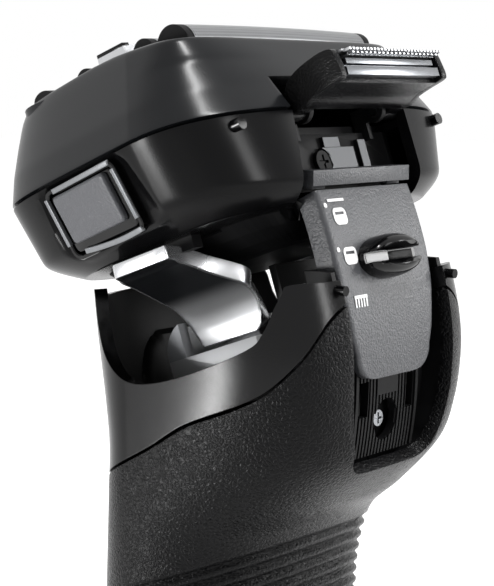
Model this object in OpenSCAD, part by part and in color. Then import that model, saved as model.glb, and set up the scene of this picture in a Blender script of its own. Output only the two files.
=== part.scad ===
// Electric shaver with five floating cutting elements, a head that rocks and
// rolls on two silver arms, and a pop-up trimmer worked by a rear slide panel.
// Millimetres. Z is up, the front (switch side) faces -Y, the trimmer side +Y.
// The base stands on z = 0 and the handle's long axis is x = y = 0.

/* [Handle] */
// Wall thickness of the moulded handle shells
shell_wall = 2.2; // [1.9:0.1:2.5]
// Half width of the grip at its broadest place
grip_half_width = 27; // [26.6:0.1:27.4]
// Depth of the finger ribs cut into the grip
rib_depth = 0.6; // [0.3:0.1:0.9]
// Distance from one finger rib to the next
rib_pitch = 2.1; // [1.9:0.1:2.4]
// Number of finger ribs
rib_count = 12; // [6:1:16]
// Radius of the round power button
power_radius = 7.2; // [6:0.1:7.6]
// Depth of the charging inlet in the base
inlet_depth = 7; // [6.5:0.1:7.4]

/* [Slide panel] */
// Radius of the curved path the slide panel runs on
track_radius = 70.6; // [70.4:0.1:70.8]
// Thickness of the slide panel
panel_thickness = 1.3; // [1.1:0.1:1.4]
// Width of the thumb knob
knob_width = 14.2; // [13:0.1:15]
// Height of the thumb knob above the panel
knob_height = 4; // [3:0.1:4.4]

/* [Head] */
// Forward tilt of the head in its middle position, degrees
head_pitch = 19.3; // [18.8:0.1:19.8]
// Half width of the head at the parting line
head_half_width = 36.2; // [35.9:0.1:36.5]
// Wall thickness of the head mouldings
head_wall = 2; // [1.8:0.1:2.2]
// Height of the foil frame above the parting line
frame_height = 16.5; // [16.3:0.1:16.7]
// Thickness of the silver arms that carry the head
arm_thickness = 2.2; // [1.9:0.1:2.5]

/* [Cutting elements] */
// Half length of the foils
foil_half_length = 22.6; // [22:0.1:22.8]
// Radius of the two outer foils
outer_foil_radius = 3.4; // [3.2:0.05:3.5]
// Radius of the two inner combs
inner_foil_radius = 2.4; // [2.2:0.05:2.5]
// Sheet thickness of the foils
foil_sheet = 0.35; // [0.25:0.05:0.45]

/* [Trimmer] */
// Half width of the pop-up trimmer case
trimmer_half_width = 14.6; // [14.4:0.1:14.8]
// Number of teeth on the trimmer comb
tooth_count = 28; // [20:1:32]

/* [Hidden] */
head_y = 8;
head_z = 143.3;
track_y = -36;
track_z = 106;
ring_points = 44;
gap = 0.3;
base_height = 8;
handle_stations = [
  [0, 0.63 * grip_half_width, 11.2, 11.2, 2.4],
  [1.5, 0.73 * grip_half_width, 13.4, 13.4, 2.4],
  [5, 0.82 * grip_half_width, 15.4, 15.2, 2.4],
  [20, 0.91 * grip_half_width, 17, 16.6, 2.3],
  [45, 0.975 * grip_half_width, 17.4, 17.4, 2.2],
  [66, 0.99 * grip_half_width, 17.2, 17.9, 2.2],
  [75, 0.992 * grip_half_width, 16.5, 19.8, 2.3],
  [80, 0.996 * grip_half_width, 15.9, 22.5, 2.4],
  [85, grip_half_width, 15.3, 28.1, 2.7],
  [93, grip_half_width, 14.8, 34.8, 3.3],
  [100, grip_half_width, 16.2, 36.5, 3.9],
  [107, grip_half_width, 18.1, 36.9, 4.3],
  [112, grip_half_width, 19.4, 36.8, 4.3],
  [118, 0.992 * grip_half_width, 20.8, 35.9, 4.2],
  [124, 0.98 * grip_half_width, 21.9, 34.2, 4.2]
];
// Head sections: height, half width, front, back, centre, front corner, back corner
head_stations = [
  [-14.5, 0.775 * head_half_width, -32.6, 15.4, 0.4, 5.5, 3],
  [-12.6, 0.845 * head_half_width, -35.6, 17.5, 1.2, 6, 3],
  [-11, 0.9 * head_half_width, -37.4, 18.2, 2, 6.5, 2.9],
  [0, head_half_width, -38.9, 18.4, 2, 6.5, 2.9],
  [5, 0.946 * head_half_width, -38.4, 16, 1.6, 6.5, 2.9],
  [10, 0.876 * head_half_width, -37.6, 13.4, 0.6, 6.5, 3.6],
  [14.5, 0.812 * head_half_width, -36.6, 11.1, -0.4, 6.5, 6],
  [frame_height, 0.782 * head_half_width, -35.2, 10, -0.4, 6.5, 6]
];

// The groove between the smooth shoulder and the textured grip, side view.
groove_line = [[-40, 74], [-22, 79.5], [-9.5, 86.6], [4.2, 94], [12.5, 99], [23, 103.3],
  [28.5, 106.6], [32.7, 111.6], [34.5, 117], [35.2, 121], [35.6, 126]];
// The upper rim of the handle, side view.
rim_line = [[-40, 116], [-17, 116.6], [-12, 118.4], [-9.9, 113.4], [-6.4, 108.3], [-0.6, 104.9],
  [5.5, 105.1], [14.8, 108], [24.5, 112.4], [27.1, 115.4], [29, 120.6], [31.4, 122.7],
  [50, 122.8]];

function bend(c, e) = sign(c) * pow(abs(c), e);
function near(t, i) = t[max(0, min(len(t) - 1, i))];
function step_at(t, z, i = 0) = (i >= len(t) - 2 || z < t[i + 1][0]) ? i : step_at(t, z, i + 1);
function slope(t, i) =
  (near(t, i + 1) - near(t, i - 1)) / (near(t, i + 1)[0] - near(t, i - 1)[0]);
// Smooth row of a table of sections at height z (cubic through the rows).
function at(t, z) =
  let (i = step_at(t, z), h = t[i + 1][0] - t[i][0], u = (z - t[i][0]) / h)
  (2 * u * u * u - 3 * u * u + 1) * t[i] + (u * u * u - 2 * u * u + u) * h * slope(t, i)
  + (3 * u * u - 2 * u * u * u) * t[i + 1] + (u * u * u - u * u) * h * slope(t, i + 1);
// Straight row of the same kind of table.
function line_at(t, z) =
  let (i = step_at(t, z), u = (z - t[i][0]) / (t[i + 1][0] - t[i][0]))
  t[i] + u * (t[i + 1] - t[i]);
// One closed ring of the handle at height z, drawn in by d.
function handle_ring(z, d = 0) =
  let (s = at(handle_stations, z))
  [for (k = [0:ring_points - 1])
    let (t = 360 * (k + 0.5) / ring_points, c = cos(t), q = sin(t), e = 2 / (q > 0 ? s[4] : 2.1))
    [(s[1] - d) * bend(c, e), ((q > 0 ? s[3] : s[2]) - d) * bend(q, e), z]];
// One closed ring of the head at local height w, drawn in by d.
function head_ring(w, d = 0) =
  let (s = line_at(head_stations, w))
  [for (k = [0:ring_points - 1])
    let (
      t = 360 * (k + 0.5) / ring_points,
      n = sin(t) > 0 ? s[6] : s[5],
      c = bend(cos(t), 2 / n),
      q = bend(sin(t), 2 / n)
    )
    [(s[1] - d) * c * (1 + 0.12 * min(0, q)), s[4] + q * (q > 0 ? s[3] - s[4] - d : s[4] - s[2] - d), w]];

// A smooth line through the points of a side-view line.
function smooth(p, n = 4) = [
  for (i = [0:len(p) - 2]) for (j = [0:n - 1])
    let (u = j / n, a = near(p, i - 1), b = p[i], c = p[i + 1], d = near(p, i + 2))
    b + 0.5 * u * ((c - a) + u * ((2 * a - 5 * b + 4 * c - d) + u * (3 * (b - c) + d - a))),
  p[len(p) - 1]
];

module loft(rings) {
  n = len(rings[0]);
  m = len(rings);
  polyhedron(
    points = [for (r = rings) each r],
    faces = concat(
      [[for (k = [0:n - 1]) k]],
      [for (j = [0:m - 2]) for (k = [0:n - 1])
        let (a = j * n + k, b = j * n + (k + 1) % n)
        [a, a + n, b + n, b]],
      [[for (k = [n - 1:-1:0]) (m - 1) * n + k]]
    ),
    convexity = 8
  );
}

// A solid made as one smooth skin.
module one_skin() resize([0, 0, 0]) children();
module in_head() translate([0, head_y, head_z]) rotate([head_pitch, 0, 0]) children();
// Drawings in (y, z) carried along x, and drawings in (x, z) carried along y.
module along_x(length) rotate([90, 0, 90]) linear_extrude(length, center = true) children();
module along_y(length) rotate([90, 0, 0]) linear_extrude(length, center = true) children();
module block(a, b) translate(a) cube(b - a);
module bar_x(y, z, r, x0, x1) translate([x0, y, z]) rotate([0, 90, 0]) cylinder(r = r, h = x1 - x0, $fn = 40);
module bar_y(x, z, r, y0, y1) translate([x, y0, z]) rotate([-90, 0, 0]) cylinder(r = r, h = y1 - y0, $fn = 40);
module both_sides() {
  children();
  mirror([1, 0, 0]) children();
}
module soft_box(w, h, r) {
  square([w - 2 * r, h], center = true);
  square([w, h - 2 * r], center = true);
  for (x = [-1, 1]) for (y = [-1, 1])
    translate([x * (w / 2 - r), y * (h / 2 - r)]) circle(r = r, $fn = 32);
}
module handle_body(z0, z1, d, step = 4) {
  n = max(2, ceil((z1 - z0) / step));
  loft([for (j = [0:n]) handle_ring(z0 + (z1 - z0) * j / n, d)]);
}
module head_body(levels, d) loft([for (w = levels) head_ring(w, d)]);

// Front-view outlines: points [half width, height] above two round corners.
module rounded_foot(p, r) {
  n = len(p);
  polygon([each p, for (i = [n - 1:-1:0]) [-p[i][0], p[i][1]]]);
  for (x = [-1, 1]) translate([x * (p[0][0] - r), p[0][1]]) circle(r = r, $fn = 40);
  translate([0, p[0][1] - r / 2]) square([2 * (p[0][0] - r), r + 0.02], center = true);
}
module panel_outline(g) {
  rounded_foot([[10.3 + g, 110.3], [11.2 + g, 113], [12.6 + g, 120.5], [13 + g, 126], [13 + g, 142]], 4 + g);
}
module slot_outline() {
  rounded_foot([[11.9, 95.5], [13.2, 99], [13.8, 103], [14.05, 108], [14.25, 128]], 4.5);
}
module track_arc(r0, r1, half) {
  translate([0, track_y, track_z]) rotate([0, 90, 0]) difference() {
    cylinder(r = r1, h = 2 * half, center = true, $fn = 180);
    cylinder(r = r0, h = 2 * half + 2, center = true, $fn = 180);
  }
}
module panel_slot() {
  intersection() {
    translate([0, 45, 0]) along_y(60) slot_outline();
    translate([0, track_y, track_z]) rotate([0, 90, 0]) difference() {
      cylinder(r = 90, h = 60, center = true, $fn = 120);
      cylinder(r = track_radius - 4.2, h = 62, center = true, $fn = 180);
    }
  }
}
module above_groove(shift) {
  line = [for (p = smooth(groove_line, 3)) p + [-shift, shift]];
  along_x(90) polygon(concat(line, [[-40, 126]]));
}
module below_rim() along_x(90) polygon(concat([[-40, 0]], smooth(rim_line, 4), [[50, 0]]));

/* ------------------------------ handle ------------------------------ */
module base_cap() {
  color("#1b1b1d") difference() {
    union() {
      one_skin() loft([for (z = [0, 0.5, 1.2, 2.2, 3.5, 5, 6.5, base_height]) handle_ring(z)]);
      translate([0, 0, base_height - 0.01]) linear_extrude(1.6) soft_box(30, 18, 6);
    }
    translate([0, 0, -1]) linear_extrude(inlet_depth + 1) soft_box(11, 6, 2.4);
    for (x = [-11, 11]) translate([x, 0, -1]) {
      cylinder(r = 2.4, h = 3.4, $fn = 40);
      cylinder(r = 1.3, h = 20, $fn = 32);
    }
  }
}
module base_seal() {
  color("#101010") translate([0, 0, base_height + 0.3]) linear_extrude(1) difference() {
    soft_box(33.6, 21.6, 7.6);
    soft_box(30.3, 18.3, 6.1);
  }
}
module base_screws() {
  color("#8d8f92") for (x = [-11, 11]) translate([x, 0, 0]) difference() {
    union() {
      translate([0, 0, 0.9]) cylinder(r = 2.2, h = 1.5, $fn = 40);
      translate([0, 0, 2.3]) cylinder(r = 1.2, h = 13, $fn = 32);
    }
    translate([0, 0, 1.1]) cube([2.6, 0.6, 0.8], center = true);
    translate([0, 0, 1.1]) cube([0.6, 2.6, 0.8], center = true);
  }
}
module charge_pins() {
  color("#c9a45a") for (x = [-2.6, 2.6])
    translate([x, 0, inlet_depth]) translate([0, 0, -1.8]) cylinder(r = 0.8, h = 1.8, $fn = 28);
}
module grip_shell() {
  color("#17181a") difference() {
    one_skin() difference() {
      intersection() {
        difference() {
          handle_body(base_height + gap, 124, 0, 3.2);
          difference() {
            handle_body(base_height - 2, 125, shell_wall, 5);
            intersection() {
              block([-16.4, 22, 84], [16.4, 50, 126]);
              translate([0, track_y, track_z]) rotate([0, 90, 0]) difference() {
                cylinder(r = 90, h = 60, center = true, $fn = 60);
                cylinder(r = track_radius - 5.8, h = 62, center = true, $fn = 90);
              }
            }
          }
        }
        below_rim();
      }
      difference() {
        above_groove(-0.15);
        block([-13.75, 24, 84], [13.75, 60, 130]);
      }
      for (i = [0:rib_count - 1]) intersection() {
        translate([0, 0, 69.5 - i * rib_pitch]) rotate([21, 0, 0])
          difference() {
            cube([90, 90, 0.8], center = true);
            translate([0, -24, 0]) cube([92, 36, 3], center = true);
          }
        difference() {
          handle_body(30, 92, -2, 5);
          handle_body(30, 92, rib_depth, 5);
        }
      }
    }
    panel_slot();
    front_seat(0.15);
    both_sides() bar_y(15.4, 121.4, 0.85, 28, 40);
    bar_y(0, 98.6, 0.95, 20, 40);
  }
}
module shoulder_shell() {
  color("#151618") difference() {
    one_skin() difference() {
      intersection() {
        difference() {
          handle_body(70, 124, 0, 3);
          handle_body(69, 125, shell_wall, 5);
        }
        below_rim();
        above_groove(0.15);
      }
      front_seat(0.15);
      block([-13.9, 26, 90], [13.9, 60, 130]);
      difference() {
        block([-16.55, 22, 83], [16.55, 60, 130]);
        handle_skin_only();
      }
    }
    panel_slot();
    both_sides() bar_y(15.4, 121.4, 0.85, 28, 40);
  }
}
// What stays of the shoulder beside the slot: the part above the groove.
module handle_skin_only() above_groove(0.15);
module front_seat(grow) {
  translate([0, -20, 0]) along_y(20) translate([0, 61]) soft_box(17 + 2 * grow, 92 + 2 * grow, 8);
}
module front_panel() {
  color("#26272a") difference() {
    one_skin() intersection() {
      difference() {
        handle_body(12, 110, -0.4, 6);
        handle_body(11, 111, shell_wall - 0.3, 6);
      }
      front_seat(-0.1);
    }
    bar_y(0, 74, power_radius + 0.15, -30, 0);
    translate([0, -20, 0]) along_y(20) translate([0, 45]) soft_box(11.2, 28.2, 3);
  }
}
module display_lens() {
  color("#0c0d10") one_skin() intersection() {
    difference() {
      handle_body(30, 62, -0.2, 6);
      handle_body(29, 63, 1.4, 6);
    }
    translate([0, -20, 0]) along_y(20) translate([0, 45]) soft_box(11, 28, 2.9);
  }
}
module power_button() {
  color("#b9bbbf") difference() {
    union() {
      bar_y(0, 74, power_radius, -18, -13);
      bar_y(0, 74, power_radius + 1.2, -13.2, -12.4);
    }
    translate([0, -18.2, 74]) rotate([90, 0, 0]) difference() {
      cylinder(r = 2.6, h = 1, center = true, $fn = 40);
      cylinder(r = 2.1, h = 2, center = true, $fn = 40);
      translate([0, 2, 0]) cube([1.2, 4, 3], center = true);
    }
  }
}
module rim_pins() {
  color("#0b0b0c") both_sides() bar_y(15.4, 121.4, 0.8, 31, 35.7);
}
module chassis() {
  color("#3b3d40") difference() {
    union() {
      block([-13.5, -9, 10.5], [13.5, 9, 92]);
      block([-11, 4, 60], [11, 12, 92]);
    }
    block([-7.4, -6.2, 14], [7.4, 9.5, 70]);
    block([-9, -4, 73], [9, 14, 88]);
    for (x = [-11, 11]) translate([x, 0, 9]) cylinder(r = 1.3, h = 8, $fn = 32);
  }
}
module battery_cell() {
  color("#2f6d4f") translate([0, 1.4, 15]) {
    cylinder(r = 7, h = 52, $fn = 60);
    translate([0, 0, 51.9]) cylinder(r = 2.4, h = 1.6, $fn = 40);
  }
}
module circuit_board() {
  color("#1e5b3a") {
    block([-11.5, -10.5, 14], [11.5, -9.2, 88]);
    block([-3.5, -11.9, 70.5], [3.5, -10.4, 77.5]);
    block([-5, -11.9, 34], [5, -10.4, 56]);
  }
}
module track_plate() {
  color("#2c2d30") difference() {
    intersection() {
      union() {
        track_arc(track_radius - 3.2, track_radius - 2, 8.7);
        intersection() {
          track_arc(track_radius - 2.1, track_radius - 1.65, 8.1);
          for (i = [-8:8]) translate([0.9 * i - 0.22, 0, 90]) cube([0.44, 60, 34]);
        }
        intersection() {
          track_arc(track_radius - 2.1, track_radius - 1.6, 4);
          block([-2.9, 20, 103], [2.9, 40, 106.4]);
        }
        intersection() {
          track_arc(track_radius - 4.1, track_radius - 1.6, 8.7);
          both_sides() block([8, 20, 90], [8.7, 45, 119]);
        }
      }
      block([-8.8, 20, 93], [8.8, 45, 117]);
    }
    bar_y(0, 98.2, 3, 20, 40);
    bar_y(0, 99.2, 3, 20, 40);
    both_sides() block([5.3, 20, 99.8], [7.7, 40, 105.6]);
  }
}
module track_screw() {
  color("#d6d8da") difference() {
    union() {
      bar_y(0, 98.6, 1.35, 30.2, 31.1);
      bar_y(0, 98.6, 0.9, 20, 30.3);
    }
    translate([0, 31.1, 98.6]) cube([1.9, 0.8, 0.42], center = true);
    translate([0, 31.1, 98.6]) cube([0.42, 0.8, 1.9], center = true);
  }
}
module neck_mount() {
  color("#232427") difference() {
    union() {
      in_head() block([-14, -21, -42], [14, 0, -38.3]);
      in_head() block([-10, -0.4, -42], [10, 2.4, -38.3]);
      in_head() block([-10, 0.95, -40], [10, 2.4, -21.4]);
      block([-12, -1, 92], [12, 15, 99]);
      bar_y(0, 98.6, 2.6, 14.5, 28);
    }
    bar_y(0, 98.6, 0.95, 17, 30);
  }
}
module neck_block() {
  color("#b4b6b9") in_head() difference() {
    union() {
      block([-15, -21.3, -38.3], [15, -1.2, -32]);
      intersection() {
        block([-15, -21.3, -32.1], [15, -17.2, -25.6]);
        translate([0, -15.2, -32]) rotate([0, 90, 0]) cylinder(r = 6.2, h = 40, center = true, $fn = 60);
      }
    }
    block([-12.9, -18.4, -39], [12.9, -3.2, -24]);
    bar_y(0, -33.5, 1.8, -30, 5);
  }
}
module roll_pin() {
  color("#d8d9db") in_head() bar_y(0, -33.5, 1.8, -21.2, -1.3);
}

/* ---------------------------- slide panel --------------------------- */
module slide_panel() {
  color("#2a2b2e") {
    intersection() {
      track_arc(track_radius - panel_thickness, track_radius, 15);
      translate([0, 45, 0]) along_y(60) panel_outline(0);
      block([-15, 0, 100], [15, 50, 136.4]);
    }
    intersection() {
      track_arc(track_radius - 3.9, track_radius - panel_thickness + 0.1, 15);
      difference() {
        translate([0, 45, 0]) along_y(60) panel_outline(0);
        translate([0, 45, 0]) along_y(62) panel_outline(-1.1);
      }
      block([-15, 0, 122.9], [15, 50, 136.4]);
    }
  }
}
module slide_bar() {
  color("#3f4043") {
    block([-13.2, 25, 137], [13.2, 27.6, 139.5]);
    both_sides() block([8.6, 24.8, 136.45], [12, 26.4, 137.1]);
  }
}
module slide_knob() {
  color("#0d0d0e") translate([0, track_y, track_z]) rotate([15.8, 0, 0])
    translate([0, track_radius + 0.06, 0]) rotate([-90, 0, 0]) {
    linear_extrude(1) scale([1, 0.5]) circle(r = knob_width / 2, $fn = 72);
    difference() {
      hull() {
        linear_extrude(1.4) scale([1, 0.5]) circle(r = knob_width / 2, $fn = 72);
        linear_extrude(knob_height) scale([1, 0.42]) circle(r = knob_width / 2 - 0.9, $fn = 72);
      }
      translate([0, 0, 6]) cube([20, 1.7, 10], center = true);
    }
  }
}
module icon_place(x, z) {
  a = asin((z - track_z) / track_radius);
  translate([x, track_y, track_z]) rotate([a, 0, 0]) translate([0, track_radius + 0.02, 0])
    rotate([-90, 0, 0]) linear_extrude(0.1) mirror([0, 1]) children();
}
module head_icon() {
  difference() {
    soft_box(3.3, 2.8, 0.9);
    translate([0, 0.5]) square([2.3, 0.5], center = true);
  }
}
module position_icons() {
  color("#e8e8e8") {
    icon_place(11.8, 134) circle(r = 0.4, $fn = 20);
    icon_place(8.9, 132.2) {
      head_icon();
      translate([0, 2.7]) square([4.2, 0.45], center = true);
    }
    icon_place(11.7, 127.2) circle(r = 0.4, $fn = 20);
    icon_place(8.9, 126.1) head_icon();
    icon_place(8.3, 118.4) {
      translate([0, 1.3]) square([3.4, 0.5], center = true);
      for (i = [-2:2]) translate([0.72 * i, 0.4]) square([0.34, 1.5], center = true);
    }
  }
}

/* -------------------------- rocking carrier ------------------------- */
module arm_profile(t) {
  // Trumpet shape: flange under the head, then a stem turning down.
  upper = [[29.6, -15.4], [27.2, -15.4], [24.6, -15.6], [21.6, -16.6], [18.6, -18.1], [15.8, -19.7],
    [13.2, -21.5], [11.3, -24], [10, -27.2], [9.3, -30.6]];
  n = len(upper);
  lower = [for (i = [0:n - 1])
    let (d = near(upper, i + 1) - near(upper, i - 1), h = i < 2 ? t : t + 0.5)
    upper[i] + [-d[1], d[0]] * h / norm(d)];
  polygon(concat(upper, [for (i = [n - 1:-1:0]) lower[i]]));
}
// Plan of the arm: it spreads to both sides where it turns down.
module arm_plan() polygon([[31, -13.9], [29.7, -14.3], [27.5, -16.3], [25.2, -17.5], [22.5, -18], [19.6, -18.1],
  [17, -18], [14.9, -17.6], [13.5, -17.1], [12.5, -16.4], [11.9, -15.7], [7, -15.6], [7, -2], [11.9, -1.6],
  [12.5, -0.9], [13.5, -0.1], [14.9, -0.4], [17, -1.6], [19.6, -2.9], [22.5, -3.5], [25.2, -3.6], [27.5, -3],
  [29.7, -2], [31, -2]]);
module arm_solid() in_head() difference() {
  union() {
    intersection() {
      along_y(40) arm_profile(arm_thickness);
      translate([0, 0, -40]) linear_extrude(40) arm_plan();
    }
    block([22, -7, -17.6], [24.4, -1, -12]);
    bar_x(-4, -12, 3, 22, 24.4);
  }
  bar_x(-4, -12, 1.5, 20, 28);
}
module arm_left() {
  color("#c3c5c8") arm_solid();
}
module arm_right() {
  color("#c3c5c8") mirror([1, 0, 0]) arm_solid();
}
module yoke_hub() {
  color("#c3c5c8") in_head() difference() {
    union() {
      block([-11.9, -15.4, -35.6], [11.9, -4.6, -31.9]);
      block([-9.25, -13, -32], [9.25, -5, -29]);
      bar_y(0, -33.5, 3.2, -15.4, -4.6);
    }
    bar_y(0, -33.5, 1.85, -30, 5);
  }
}
module pitch_pins() {
  color("#d8d9db") in_head() both_sides() bar_x(-4, -12, 1.5, 18.6, 26.4);
}

/* ------------------------------- head ------------------------------- */
module window_cut() {
  translate([0, 26, 0]) along_y(28.8)
    polygon([[-15.2, 6.2], [15.2, 6.2], [15.2, 0], [16.2, -11], [16.2, -15], [-16.2, -15], [-16.2, -11], [-15.2, 0]]);
}
module side_place() translate([32.55, -12.67, -6.8]) rotate([0, 16.7, -8.6]) children();
module side_plug(w, h, x0, x1, r) {
  translate([x0, 0, 0]) rotate([90, 0, 90]) linear_extrude(x1 - x0) soft_box(w, h, r);
}
module head_housing() {
  color("#1c1d1f") in_head() difference() {
    one_skin() difference() {
      head_body([-14.5, -12.6, -11, -5.5, 0], 0);
      head_body([-14.5 + head_wall, -11, -5.5, 0.01, 0.3], head_wall);
      window_cut();
      both_sides() side_place() side_plug(20.2, 12.8, -4.6, 4, 2);
      both_sides() block([21.3, -8.6, -16], [25.1, 0.6, -11]);
      both_sides() block([18.3, -5.7, -13.8], [27.5, -2.3, -11]);
    }
    both_sides() bar_y(26.8, -1.9, 1.03, 9, 24);
  }
}
// Keel of the cover under the head: it narrows towards its lowest level.
function keel_ring(w) =
  let (s = (w + 19.4) / 4.9, a = 10.5 + 9 * pow(s, 0.6), f = 18 + 6 * sqrt(s), b = 8 + 3.5 * sqrt(s))
  [for (k = [0:ring_points - 1])
    let (t = 360 * (k + 0.5) / ring_points, q = bend(sin(t), 0.5))
    [a * bend(cos(t), 0.5), q * (q > 0 ? b : f), w]];
module bottom_cover() {
  color("#161718") in_head() one_skin() difference() {
    union() {
      loft([for (w = [-19.4, -19, -18, -16.4, -14.5]) keel_ring(w)]);
      hull() {
        translate([0, -23.6, -17.9]) linear_extrude(0.2) soft_box(27.4, 6, 2.4);
        translate([0, -23.8, -16.6]) linear_extrude(0.2) soft_box(30.8, 7.4, 2.6);
        translate([0, -24.2, -14.6]) linear_extrude(0.1) soft_box(36, 9, 3);
      }
    }
    both_sides() block([19, -9, -20], [30, 1, -10]);
  }
}
module pivot_blocks() {
  color("#2a2b2d") in_head() difference() {
    both_sides() {
      block([18.4, -7.5, -12.3], [21.1, -0.5, -8.8]);
      block([25.3, -7.5, -12.3], [26.5, -0.5, -8.8]);
    }
    both_sides() bar_x(-4, -12, 1.55, 18, 28.5);
    both_sides() block([18, -5.55, -13], [28.5, -2.45, -12]);
  }
}
module linear_motor() {
  color("#6f7276") in_head() {
    block([-15.5, -24, -11.8], [15.5, 2, -4.6]);
    block([-12, -20, -4.7], [12, -2, -3.4]);
  }
}
module drive_posts() {
  color("#d8d9db") in_head() both_sides() {
    translate([7, -11, -3.3]) cylinder(r = 1.3, h = 7.6, $fn = 32);
    translate([7, -11, 4.3]) cylinder(r = 0.8, h = 1.2, $fn = 32);
  }
}
module drive_deck() {
  color("#202124") in_head() difference() {
    translate([0, 0, -2.4]) linear_extrude(1.4)
      polygon([for (p = head_ring(-1.7, head_wall + 0.4)) [p[0], p[1]]]);
    block([-17.4, 10.5, -5], [17.4, 30, 5]);
    both_sides() block([25.5, -24.5, -5], [40, -1.5, 5]);
    both_sides() translate([7, -11, -5]) cylinder(r = 2.4, h = 10, $fn = 32);
    both_sides() block([24.8, 9.6, -5], [28.8, 20, 5]);
  }
}
module trimmer_bracket() {
  color("#2d2e31") in_head() difference() {
    union() {
      block([-16.3, 10.9, -8.7], [16.3, 12.3, -2.7]);
      block([-11.3, 10.9, -12.2], [11.3, 11.9, -8.6]);
      both_sides() {
        block([9.4, 10.9, -4.2], [10.4, 13.6, 1.2]);
        block([9.4, 13, -1.4], [10.4, 15.6, 1.6]);
        bar_x(15.5, 0.2, 2.1, 9.4, 10.4);
      }
      difference() {
        block([-4.6, 11.8, -10.6], [4, 13.2, -5.2]);
        bar_y(4.2, -7.6, 2.15, 12.3, 16);
      }
      block([-1.4, 12.2, -5.3], [3, 13, -3.4]);
      block([-8.4, 12.2, -9.6], [-6.2, 13.1, -4]);
    }
    both_sides() bar_x(15.5, 0.2, 1.15, 8, 12);
    bar_y(4.2, -7.6, 1.05, 10, 16);
  }
}
module bracket_screw() {
  color("#0e0e0f") in_head() difference() {
    union() {
      bar_y(4.2, -7.6, 1.9, 12.32, 13.1);
      bar_y(4.2, -7.6, 1, 8, 12.4);
    }
    translate([4.2, 13.1, -7.6]) cube([2.4, 0.8, 0.5], center = true);
    translate([4.2, 13.1, -7.6]) cube([0.5, 0.8, 2.4], center = true);
  }
}
module rear_studs() {
  color("#08080a") in_head() both_sides() {
    bar_y(26.8, -1.9, 1, 11, 16.9);
  }
}
module button_bezels() {
  color("#3a3b3e") in_head() both_sides() side_place() difference() {
    side_plug(20, 12.6, -2, 0.3, 1.9);
    side_plug(18.4, 11, -3, 2, 1.3);
  }
}
module release_button() in_head() side_place() {
  side_plug(17.8, 10.4, -2.4, -0.2, 1);
  translate([0, 0, 0.7]) side_plug(14.4, 8.2, -1, 0.8, 0.7);
  side_plug(19, 11.4, -2.9, -2.2, 1.2);
}
module release_button_left() {
  color("#47484b") release_button();
}
module release_button_right() {
  color("#47484b") mirror([1, 0, 0]) release_button();
}

/* ----------------------------- cassette ----------------------------- */
// Opening in the deck: a rounded rectangle kept inside the frame's own outline.
module deck_opening(d) {
  intersection() {
    translate([0, -10.7]) soft_box(49.4 - 2 * d, 40.2 - 2 * d, 1);
    polygon([for (p = head_ring(14.5, 1.2 + d)) [p[0], p[1]]]);
  }
}
// The deck falls away to the back: everything above it, side view.
module above_deck() along_x(90)
  polygon([[-60, frame_height + 0.01], [-9, frame_height + 0.01], [-3, 16.1], [5, 15], [10.5, 14.2],
    [30, 11.4], [30, 40], [-60, 40]]);
module foil_frame() {
  color("#242528") in_head() one_skin() difference() {
    head_body([gap, 5, 10, 14.5, frame_height], 0);
    head_body([gap - 0.2, 5, 10, 12.2], head_wall);
    above_deck();
    translate([0, 0, 8]) linear_extrude(20) deck_opening(0);
    window_cut();
  }
}
// Round-topped drawing: half circle of radius r on straight legs of length l.
module arch(r, l) {
  intersection() {
    circle(r = r, $fn = 48);
    translate([-r, -l]) square([2 * r, l + r]);
  }
  translate([-r, -l]) square([2 * r, l]);
}
// A drawing in (v, height) swept along a slightly crowned line in x.
module crowned(half, v, w) {
  big = 900;
  a = asin(half / big);
  translate([0, v, w - big]) rotate([90, 0, 0]) rotate([0, 0, 90 - a])
    rotate_extrude(angle = 2 * a, $fn = 1440) translate([big, 0]) rotate(-90) mirror([1, 0]) children();
}
module foil_sheet_piece(v, r, w) {
  in_head() crowned(foil_half_length, v, w) difference() {
    arch(r, 2.6);
    arch(r - foil_sheet, 3);
  }
}
module foil_holder_piece(v, r, w) {
  in_head() intersection() {
    linear_extrude(30) deck_opening(0.3);
    union() {
    both_sides() intersection() {
      crowned(foil_half_length + 1.7, v, w) arch(r, 6);
      block([foil_half_length + 0.34, v - 8, 0], [30, v + 8, 30]);
    }
    difference() {
      translate([0, v, w - 6.6]) cube([2 * foil_half_length + 3.4, 2 * r, 2.6], center = true);
      translate([0, v, w - 6.6]) cube([2 * foil_half_length - 0.4, 2 * r - 1.6, 6], center = true);
    }
    both_sides() block([foil_half_length + 0.1, v - r, w - 7.9], [foil_half_length + 1.7, v + r, w - 4]);
    }
  }
}
module blade_piece(v, r, w) {
  in_head() crowned(foil_half_length - 1.6, v, w) {
    arch(r - foil_sheet - 0.35, 2.4);
    translate([-r / 3, -5.4]) square([2 * r / 3, 3.2]);
  }
}
back_v = 5.4;
front_v = -25.6;
inner_back_v = -0.9;
inner_front_v = -14.8;
outer_w = 14.8;
inner_w = 15.9;
module foil_back() {
  color("#c8cacc") foil_sheet_piece(back_v, outer_foil_radius, outer_w);
}
module foil_back_holder() {
  color("#0b0b0c") foil_holder_piece(back_v, outer_foil_radius, outer_w);
}
module blade_back() {
  color("#9fa2a5") blade_piece(back_v, outer_foil_radius, outer_w);
}
module foil_front() {
  color("#c8cacc") foil_sheet_piece(front_v, outer_foil_radius, outer_w);
}
module foil_front_holder() {
  color("#0b0b0c") foil_holder_piece(front_v, outer_foil_radius, outer_w);
}
module blade_front() {
  color("#9fa2a5") blade_piece(front_v, outer_foil_radius, outer_w);
}
module comb_back() {
  color("#b9bcbf") foil_sheet_piece(inner_back_v, inner_foil_radius, inner_w);
}
module comb_back_holder() {
  color("#0b0b0c") foil_holder_piece(inner_back_v, inner_foil_radius, inner_w);
}
module comb_back_blade() {
  color("#9fa2a5") blade_piece(inner_back_v, inner_foil_radius, inner_w);
}
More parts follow.
